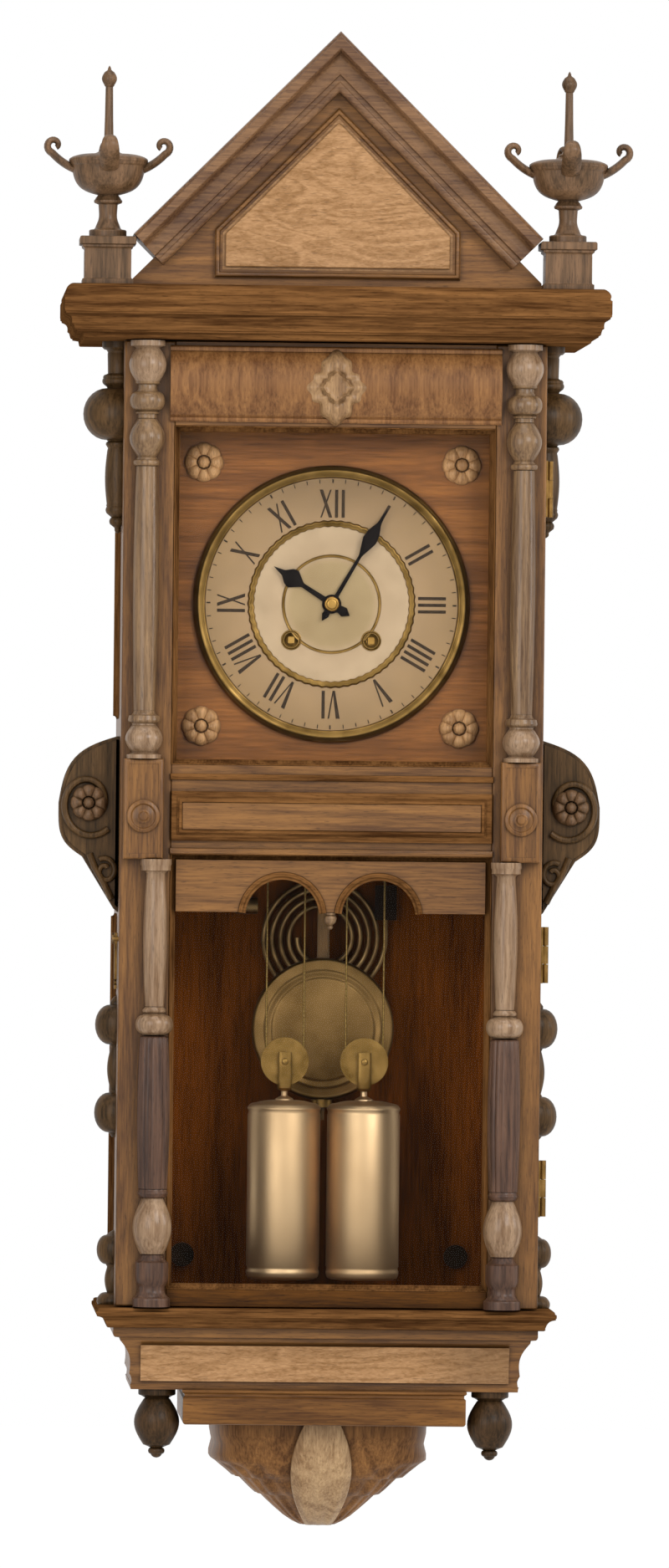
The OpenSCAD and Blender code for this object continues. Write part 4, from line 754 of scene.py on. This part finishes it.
# %% Tongue
# A leaf that follows the corbel's front: its half-width, its depth and its swelling change with the height up it,
# and veins run along it. Its root is let into the corbel.
up = np.linspace(0, 1, 34)[:, None]
a = np.linspace(0, np.pi, 33)[None]
tongue_w = 5 + 18 * np.sin(np.pi * np.clip(0.06 + 0.86 * up, 0, 1)) ** 0.8
tongue_y = 62 + 64 * up ** 0.75 + 6 * np.sin(np.pi * up)
swelling = 9 * np.sin(a) ** 0.7 * np.sin(np.pi * np.clip(0.1 + 0.85 * up, 0, 1))
vein = 1.3 * np.cos(8 * a) * np.sin(a) * (1 - 0.5 * up)
tongue = at(tongue_w * np.cos(a), -tongue_y - swelling - vein, 2 + 84 * up)
tongue = np.concatenate([tongue, tongue[:, [-1, 0]] + (0, 16, 0)], 1)
piece("corbel_tongue", [capped(surface(tongue, round_v=True), tongue.shape[1])], highlit_tongue_walnut, "case")

# %% Turned drops
drop_section = profile((0, 0), (14, 0), (14, -4), (12.4, -5, -0.4), (9, -7), (10, -8), (10, -42, -7), (7, -43.2),
                       (5.6, -43.8), (4.4, -44.4), (4.4, -49, -1.8), (0, -52, -0.8))
piece("hanging_drops", mirrored([turned(drop_section, 125, -137, BASE_Z)]), shaded_walnut, "case",
      "turned_drops")

# %% [markdown]
# ## The door
# Two stiles run the full height, three rails lie between them, and a moulded sticking frames each light in front
# of its glass. All of it, with the columns and the arch board, rides on the door.

# %% Stiles, rails and sticking
EDGE = LIGHT_HALF + 4                  # the stiles begin here, behind the sticking
DOOR_FOOT, DOOR_HEAD = 171.0, 892.0
STILE_MIDDLE, STILE_HALF = (CASE_HALF + EDGE) / 2, 19.0


def door_board(x0, x1, z0, z1):
    return board(x0, x1, -DOOR_FRONT, -DOOR_BACK, z0, z1)


piece("door_stiles", [door_board(x - STILE_HALF, x + STILE_HALF, DOOR_FOOT, DOOR_HEAD)
                      for x in (-STILE_MIDDLE, STILE_MIDDLE)],
      case_walnut["Z"], "door", "door_frame", soft=1.2)
piece("door_bottom_rail", [door_board(-EDGE, EDGE, DOOR_FOOT, LOW_LIGHT - 4)], shaded_rail_walnut, "door",
      soft=0.5)
piece("door_rails", [door_board(-EDGE, EDGE, MID_RAIL + 4, DIAL_LIGHT - 4),
                     door_board(-EDGE, EDGE, TOP_RAIL + 4, DOOR_HEAD)],
      case_walnut["X"], "door", soft=0.5)


def ring(x0, x1, z0, z1, section):
    """A section run round a rectangle: positive t lies outside it."""
    return run([(x0, z0), (x0, z1), (x1, z1), (x1, z0)], section)


sticking = profile((0, 158), (0, 163), (0.7, 164), (1.4, 164), (3.4, 169.6, 0.9), (3.4, 171.2), (4, 171.4), (4, 158))
piece("door_sticking", [ring(-LIGHT_HALF, LIGHT_HALF, LOW_LIGHT, MID_RAIL, sticking),
                        ring(-LIGHT_HALF, LIGHT_HALF, DIAL_LIGHT, TOP_RAIL, sticking)], dark_walnut["Z"], "door")

# %% Frieze
# The frieze swells forward between two fillets; its veneer runs upright, as it did on such clocks.
frieze_section = np.vstack([profile((-170, 832), (-173, 832), (-173.8, 833, 0.2), (-174, 835), (-172.6, 836)),
                            at(-172.6 - 8.2 * np.sin(np.pi * np.linspace(0, 1, 25)) ** 0.8,
                               np.linspace(836, 885, 25)),
                            profile((-174, 885), (-174.2, 888, -0.3), (-173, 889), (-170, 889))])
piece("frieze", [prism(frieze_section, -124, 124, across=True)], frieze_walnut, "door", soft=0.3)


def bell(q, middle, width):
    return np.exp(-((q - middle) / width) ** 2)


def cartouche_line(a):
    """Half-width 27, half-height 29, drawn in to 19 between four lobes."""
    return 22.5 + 1.6 * np.abs(np.sin(a)) + 3.4 * np.cos(4 * a) + 1.2 * np.cos(12 * a)


def cartouche_carving(q, a):
    """A domed boss in a raised ring with a groove round it, and veins between the lobes."""
    dome = 12.6 - 3.2 * q ** 2 - 6 * q ** 10
    veins = 1.1 * np.cos(8 * a) * np.sin(np.pi * q) ** 2 * (q > 0.4)
    return dome + veins + 1.6 * bell(q, 0.36, 0.05) - 1.8 * bell(q, 0.45, 0.05)


piece("frieze_cartouche", [relief(0, 858.5, DOOR_FRONT, cartouche_line, cartouche_carving)], cartouche_walnut,
      "door", "door_ornaments", sharp=60)

# %% Middle rail
rail_bead = profile((0, 171), (0, 174.4), (-0.8, 175.4, 0.3), (-4.6, 176), (-4.6, 177), (-6, 178.9, -0.8),
                    (-8, 178.9), (-8, 171))
thin_bead = profile((0, 171), (0, 172.4), (-1.6, 173.6, 0.7), (-3.2, 172.4, 0.7), (-3.2, 171))
piece("middle_rail_moulding", [ring(-EDGE, EDGE, 519, 556, rail_bead),
                               ring(-EDGE - 1, EDGE + 1, 564.5, 569, thin_bead)],
      dark_walnut["X"], "door")
piece("middle_rail_bead", [ring(-EDGE - 1, EDGE + 1, 509, 513.5, thin_bead)], case_walnut["X"], "door")
piece("middle_rail_field", [board(-EDGE + 8, EDGE - 8, -178.2, -170, 527, 548)], case_walnut["X"], "door",
      soft=0.8)

# %% Arch board
# Two arches side by side, each drawn from its own middle and cut off where it meets the board's lower edge.
ARCH_X, ARCH_Z, ARCH_R, ARCH_FOOT = 36.0, 463.0, 33.0, 466.0
spring = math.asin((ARCH_FOOT - ARCH_Z) / ARCH_R)
a = np.linspace(spring, math.pi - spring, 33)
arch = at(ARCH_X + ARCH_R * np.cos(a), ARCH_Z + ARCH_R * np.sin(a))
under = np.vstack([[(-LIGHT_HALF, ARCH_FOOT)], arch * (-1, 1), arch[::-1], [(LIGHT_HALF, ARCH_FOOT)]])
under = under[np.argsort(under[:, 0], kind="stable")]
piece("arch_board", [prism(np.vstack([under, [(LIGHT_HALF, MID_RAIL), (-LIGHT_HALF, MID_RAIL)]]), -168.4, -158)],
      case_walnut["X"], "door", "door_arch", soft=0.4)
archivolt = profile((0, 168), (0, 170.4), (1.2, 170.9, 0.3), (3.4, 169.6), (3.4, 170.2), (5.4, 169.4, 0.6), (5.4, 168))
piece("arch_mouldings", mirrored([run(arch[::-1] * (-1, 1), archivolt, closed=False)]),
      dark_walnut["X"], "door")
middle_drop = profile((0, 0), (4, 0), (3.8, -1.4), (3, -2), (4.6, -4.6, -0.8), (2.4, -8.6, -0.6), (1.4, -9.6),
                      (2, -11, -0.5), (0, -12.4, -0.4))
piece("arch_drop", [turned(middle_drop, 0, -166, ARCH_FOOT, sides=28)], turned_walnut, "door")

# %% Columns
# Each column is turned in lengths: bulbs, rings and a shaft on dowels. The back is planed flat to the stile. The
# upper pair stands further out than the lower one, and the widest length of the lower pair is fluted.
UPPER_X, LOWER_X, COLUMN_Y = 141.0, 131.0, -177.0


def lengths(x, *sections, ripple=None):
    return [split(turned(profile(*section), x, COLUMN_Y, sides=56, ripple=ripple), front=DOOR_FRONT - 0.5)
            for section in sections]


def fluted(h, a):
    """Fourteen shallow flutes from end to end of the shaft."""
    return 1 - 0.07 * (0.5 + 0.5 * np.cos(14 * a)) ** 2


upper_shafts = lengths(
    UPPER_X,
    ((0, 606), (9.4, 606), (11.2, 607, -0.4), (12, 609.4, 0.4), (11.4, 612), (8.4, 614, -0.6), (7.8, 616)),
    ((0, 616), (8, 616), (8, 798, 1.5), (0, 798)),
    ((0, 798), (8.6, 798.4), (10.2, 800.8, 0.5), (8.4, 803, 0.6), (7.2, 805), (0, 805)),
    ((0, 805), (7, 805), (7, 833.6, 6.2), (0, 833.6)),
    ((0, 833), (7, 834), (7, 837), (9, 838.2, 0.5), (7.6, 839.6), (8, 839.8), (8, 854, 5.2), (7, 856), (7, 859),
     (9.4, 860.2, 0.4), (9, 861.4), (0, 861.4)))
upper_bulbs = lengths(
    UPPER_X,
    ((0, 580), (13, 580), (13, 583), (10, 584, -0.2), (9, 584.6), (9, 605, 5), (9, 606), (0, 606)),
    ((0, 861), (9, 861.4), (9, 886.4, 5), (10, 887.2), (13, 888), (13, 892), (0, 892)))
lower_shafts = lengths(
    LOWER_X,
    ((0, 395), (7, 395), (7, 494, 2), (11, 496.6, -0.8), (11, 500), (11.6, 501), (11.6, 505), (0, 505)),
    ((0, 373), (8.6, 374), (9, 374.6), (9, 388.6, 5), (7.2, 390), (9, 392.2, 0.6), (7, 394.6), (0, 395)))
lower_dull = lengths(
    LOWER_X,
    ((0, 171), (14, 171), (14, 176), (12.6, 178, 0.5), (10, 186, -1), (12.5, 195, 0.8), (12.5, 204), (9, 208, -0.5),
     (8, 210), (0, 210)),
    ((0, 252), (8, 252), (11, 254.4, 0.6), (11, 257, 0.5), (10.6, 258.6), (0, 259)))
lower_dull += lengths(LOWER_X, ((0, 258.6), (11, 259), (11, 371, 1.5), (9, 373, 0.5), (0, 373.4)), ripple=fluted)
lower_bulbs = lengths(LOWER_X, ((0, 210), (9, 210.4), (9, 249.4, 5.6), (8, 252), (0, 252)))
piece("upper_column_shafts", mirrored(upper_shafts), turned_walnut, "door", "door_columns")
piece("lower_column_shafts", mirrored(lower_shafts), highlit_turned, "door")
piece("fluted_shafts", mirrored(lower_dull), shaded_fluted_turned, "door")
piece("column_bulbs", mirrored(upper_bulbs + lower_bulbs), highlit_turned, "door")

# %% Blocks between the columns
block_edge = profile((0, 171), (0, 183), (-1.8, 185, 0.5), (-4, 185), (-4, 171))
boss = profile((0, 185), (12, 185), (12, 187.6, 0.4), (9.6, 188.4), (8.4, 187.4), (5, 188.2), (5.4, 190, -0.4),
               (3, 192, -0.6), (0, 192.4))
piece("column_blocks_with_bosses",
      mirrored([ring(126, 156, MID_RAIL, DIAL_LIGHT, block_edge), board(129, 153, -184.4, -171, 508, 577),
                turned(boss, UPPER_X, 0, 537, outward=True)]),
      case_walnut["Z"], "door", "column_blocks", soft=0.3)
dress(aged_brass, "door_brasses", "case_brasses", "latch_hook")

# %% [markdown]
# ## The dial
# The mask carries four carved rosettes. Carving is a height field over a polar grid, so petals, veins and a
# button are sums of waves in the angle and the radius.

# %% Rosettes
PETALS = 8


def petals(reach):
    return lambda a: reach * (0.93 + 0.07 * np.abs(np.cos(PETALS * a / 2)) ** 0.6)


def rosette_carving(high):
    """A row of petals round a domed button, which reaches out to a third of the radius."""
    def height(q, a):
        row = (0.55 + 0.3 * np.abs(np.cos(PETALS * a / 2)) ** 0.7) * (q > 0.34) * np.sin(np.pi * q ** 1.5) ** 0.6
        return high * (row + np.clip(1 - (q / 0.34) ** 2, 0, 1) ** 0.5 + 0.16 * (q < 1))
    return height


flowers = [relief(x, z, depth, petals(reach), rosette_carving(high), rings=22)
           for x, z, depth, reach, high in ((97, 605, 124, 15, 5.6), (97, 803, 124, 15, 5.6),
                                            (181, 546.5, 138, 14, 8.4))]
piece("carved_rosettes", mirrored(flowers[:2]), pale_carved, "case", "rosettes", sharp=50)
piece("ear_rosettes", mirrored(flowers[2:]), finial_walnut, "case", sharp=50)
dress(mask_walnut, "dial_mask")

# %% Dial
dress(aged_brass, "dial_plate")
dress(enamel, "dial_enamels")
dress(black_paint, "dial_numerals")
ARBOR_X, ARBOR_Z = 30.0, 670.3          # the two winding squares, and the drums behind them
bezel = profile((94.6, 127), (95, 128.4), (96, 129.8, -0.3), (97.4, 130.2), (98.4, 131.2, -0.2), (101.6, 130.6, -0.7),
                (102.2, 129.6), (103.4, 128.6), (104.2, 126.4, -0.3), (104.2, 124.4), (94.6, 124.4))
chapter_ring = profile((58.4, 127.2), (58.8, 128.6, -0.4), (60.2, 128.8), (62.6, 128.6, -0.6), (63, 127.4),
                       (58.4, 126.2))
centre_ring = profile((35, 127.2), (35.2, 128.3, 0.4), (37.2, 128.3, 0.4), (37.4, 127.2), (35, 127))
collar = profile((5.5, 127), (5.5, 128.6), (6.4, 129, 0.2), (7.6, 128, 0.4), (7.8, 127.2), (5.5, 126.8))


def hoop(section, x, z, sides, ripple=None):
    """A section that comes back to its start, turned round an axis that points outward."""
    return turned(np.vstack([section, section[:1]]), x, 0, z, sides, outward=True, ripple=ripple)


rings = [hoop(bezel, 0, DIAL_Z, 240), hoop(chapter_ring, 0, DIAL_Z, 240, lambda h, a: 1 + 0.007 * np.cos(60 * a)),
         hoop(centre_ring, 0, DIAL_Z, 240)] + [hoop(collar, x, ARBOR_Z, 40) for x in (-ARBOR_X, ARBOR_X)]
piece("dial_rings", rings, aged_brass, "case")
cap = profile((0, 134.4), (5.4, 134.4), (5.4, 135.4, 0.2), (4.2, 136, 0.2), (2.2, 136.8, 0.3), (0, 137))
piece("hand_collet", [turned(cap, 0, 0, DIAL_Z, sides=36, outward=True)], brass, "centre_arbor")
dress(blued_steel, "hour_hand", "minute_hand")

# %% [markdown]
# ## Inside the case
# The movement keeps its turned and cut wheels as they were constructed. The weights, the bob's face, the gong rod
# and the cables get their real surfaces here.

# %% Movement, brackets and fittings
dress(brass, "movement_frame", "time_drum", "time_great_wheel", "centre_wheel", "third_wheel", "escape_wheel",
      "minute_wheel", "hour_wheel", "strike_drum", "strike_great_wheel", "pin_wheel")
dress(aged_brass, "rating_nut", "time_pulley", "strike_pulley")
dress(steel, "anchor", "hanger_plate")
dress(gong_steel, "hammer")
dress(black_iron, "iron_brackets", "gong_base", "wall_screws")
dress(rod_wood, "pendulum_rod")
dress(bob_brass, "pendulum_bob")

# %% Bob
# A spun and slightly domed face in front of the lens of the bob, with a raised ring and a groove turned in it and
# rolled over the rim. The profile is (r, depth).
BOB_Z, FACE_R = 376.75, 50.5
r = np.linspace(0, FACE_R, 90)
dome = 49.8 + 3.2 * (1 - (r / FACE_R) ** 2.2) + 0.6 * bell(r, 43.5, 1.3) - 0.6 * bell(r, 40, 1.3)
spun = np.vstack([at(r, dome), profile((51, 49.9), (53, 48.4, -0.5), (53.9, 45, -0.3), (53.6, 42), (52.4, 42),
                                       (50, 49), (0, 49))])
piece("bob_face", [turned(spun, 0, 0, BOB_Z, sides=128, outward=True)], bob_brass, "bob", sharp=50)

# %% Weights
# Sheet brass cases with a rolled seam at each end and a domed lid, hung on a stirrup round the pulley.
WEIGHT_Y, WEIGHT_FOOT, PULLEY_Z = -86.0, 189.0, 353.0
weight_section = profile((0, 0), (22.5, 0), (24.5, 0.6, 0.4), (26.9, 2.4, 0.6), (27.5, 4.4), (27.5, 6.2), (27, 7.2),
                         (27, 9), (27.5, 10), (27.5, 124), (27, 125), (27, 126.8), (27.5, 127.8), (27.4, 129.4, 0.3),
                         (22, 132.6, 1.0), (7, 134.8, 0.6), (5.4, 136.4, 0.4), (3.4, 137.6), (2.5, 138),
                         (2.5, 142.6), (4, 143.4), (4, 145), (0, 145))
strap_out, strap_z = np.array([(94.4, 360), (94.4, 348), (94.4, 338), (93.4, 333.4), (91, 331.6), (81, 331.6),
                               (78.6, 333.4), (77.6, 338), (77.6, 348), (77.6, 360)]).T
pin_section = profile((0, 76), (2.6, 76), (2.6, 96), (1.8, 96.6), (0, 96.8))
for name, x in (("time", ARBOR_X), ("strike", -ARBOR_X)):
    strap = tube(at(x, -strap_out, strap_z), 1.0, 5.0)
    pin = turned(pin_section, x, 0, PULLEY_Z, sides=24, outward=True)
    piece(name + "_weight_case", [turned(weight_section, x, WEIGHT_Y, WEIGHT_FOOT, sides=72)], weight_brass,
          name + "_weight", name + "_weight", sharp=40)
    piece(name + "_stirrup", [strap, pin], aged_brass, name + "_weight")

# %% Cables
# One cable a weight: it leaves the drum, goes down, under the pulley and up to a hook in the seat board. On the
# clock the two straight parts shorten towards their fixed ends as the weight is wound up; here each is drawn
# straight as a piece of its own with its own mesh.
CABLE_OUT, CABLE_R = 14.15, 0.75       # how far it hangs from the weight's axis, and its radius
SEAT_HOOK_Z, TRAVEL = 596.5, 180.0     # its fixed end, and how far a weight is wound up
half_turn = np.linspace(math.pi, 2 * math.pi, 25)


def cable(x, z, flat=(0, 1, 0)):
    return [tube(at(x, WEIGHT_Y, z), CABLE_R, sides=10, flat=flat)]


for name, x, side in (("time", ARBOR_X, 1), ("strike", -ARBOR_X, -1)):
    for end, out, top in (("drum", side, ARBOR_Z), ("hook", -side, SEAT_HOOK_Z)):
        z = np.linspace(PULLEY_Z, top, 40)
        strand = piece(name + "_cable_" + end, cable(x + out * CABLE_OUT, z, flat=(1, 0, 0)), cable_brass,
                       "case", name + "_cable")
        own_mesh(strand)
    across, down = x + CABLE_OUT * np.cos(half_turn), CABLE_OUT * np.sin(half_turn)
    piece(name + "_cable_pulley_turn", cable(across, PULLEY_Z + down), cable_brass, name + "_weight")
    piece(name + "_cable_drum_turn", cable(across, ARBOR_Z - down), cable_brass, "case")

# %% Gong
# A round steel rod wound inwards: radius 48 mm less 6.4 mm a turn for four and a half turns, with a straight
# lead up into its block.
GONG_Y, GONG_Z, GONG_R, PITCH = -22.0, 445.5, 48.0, 6.4
turn = np.linspace(0, 4.5, 260)
coil = (GONG_R - PITCH * turn)[:, None] * at(np.cos(2 * np.pi * turn), -np.sin(2 * np.pi * turn))
lead = at(GONG_R, np.linspace(18, 3, 6))
x, z = np.vstack([lead, coil]).T
piece("gong_rod", [tube(at(x, GONG_Y, GONG_Z + z), 1.8, sides=14)], gong_steel, "case", "gong_coil")
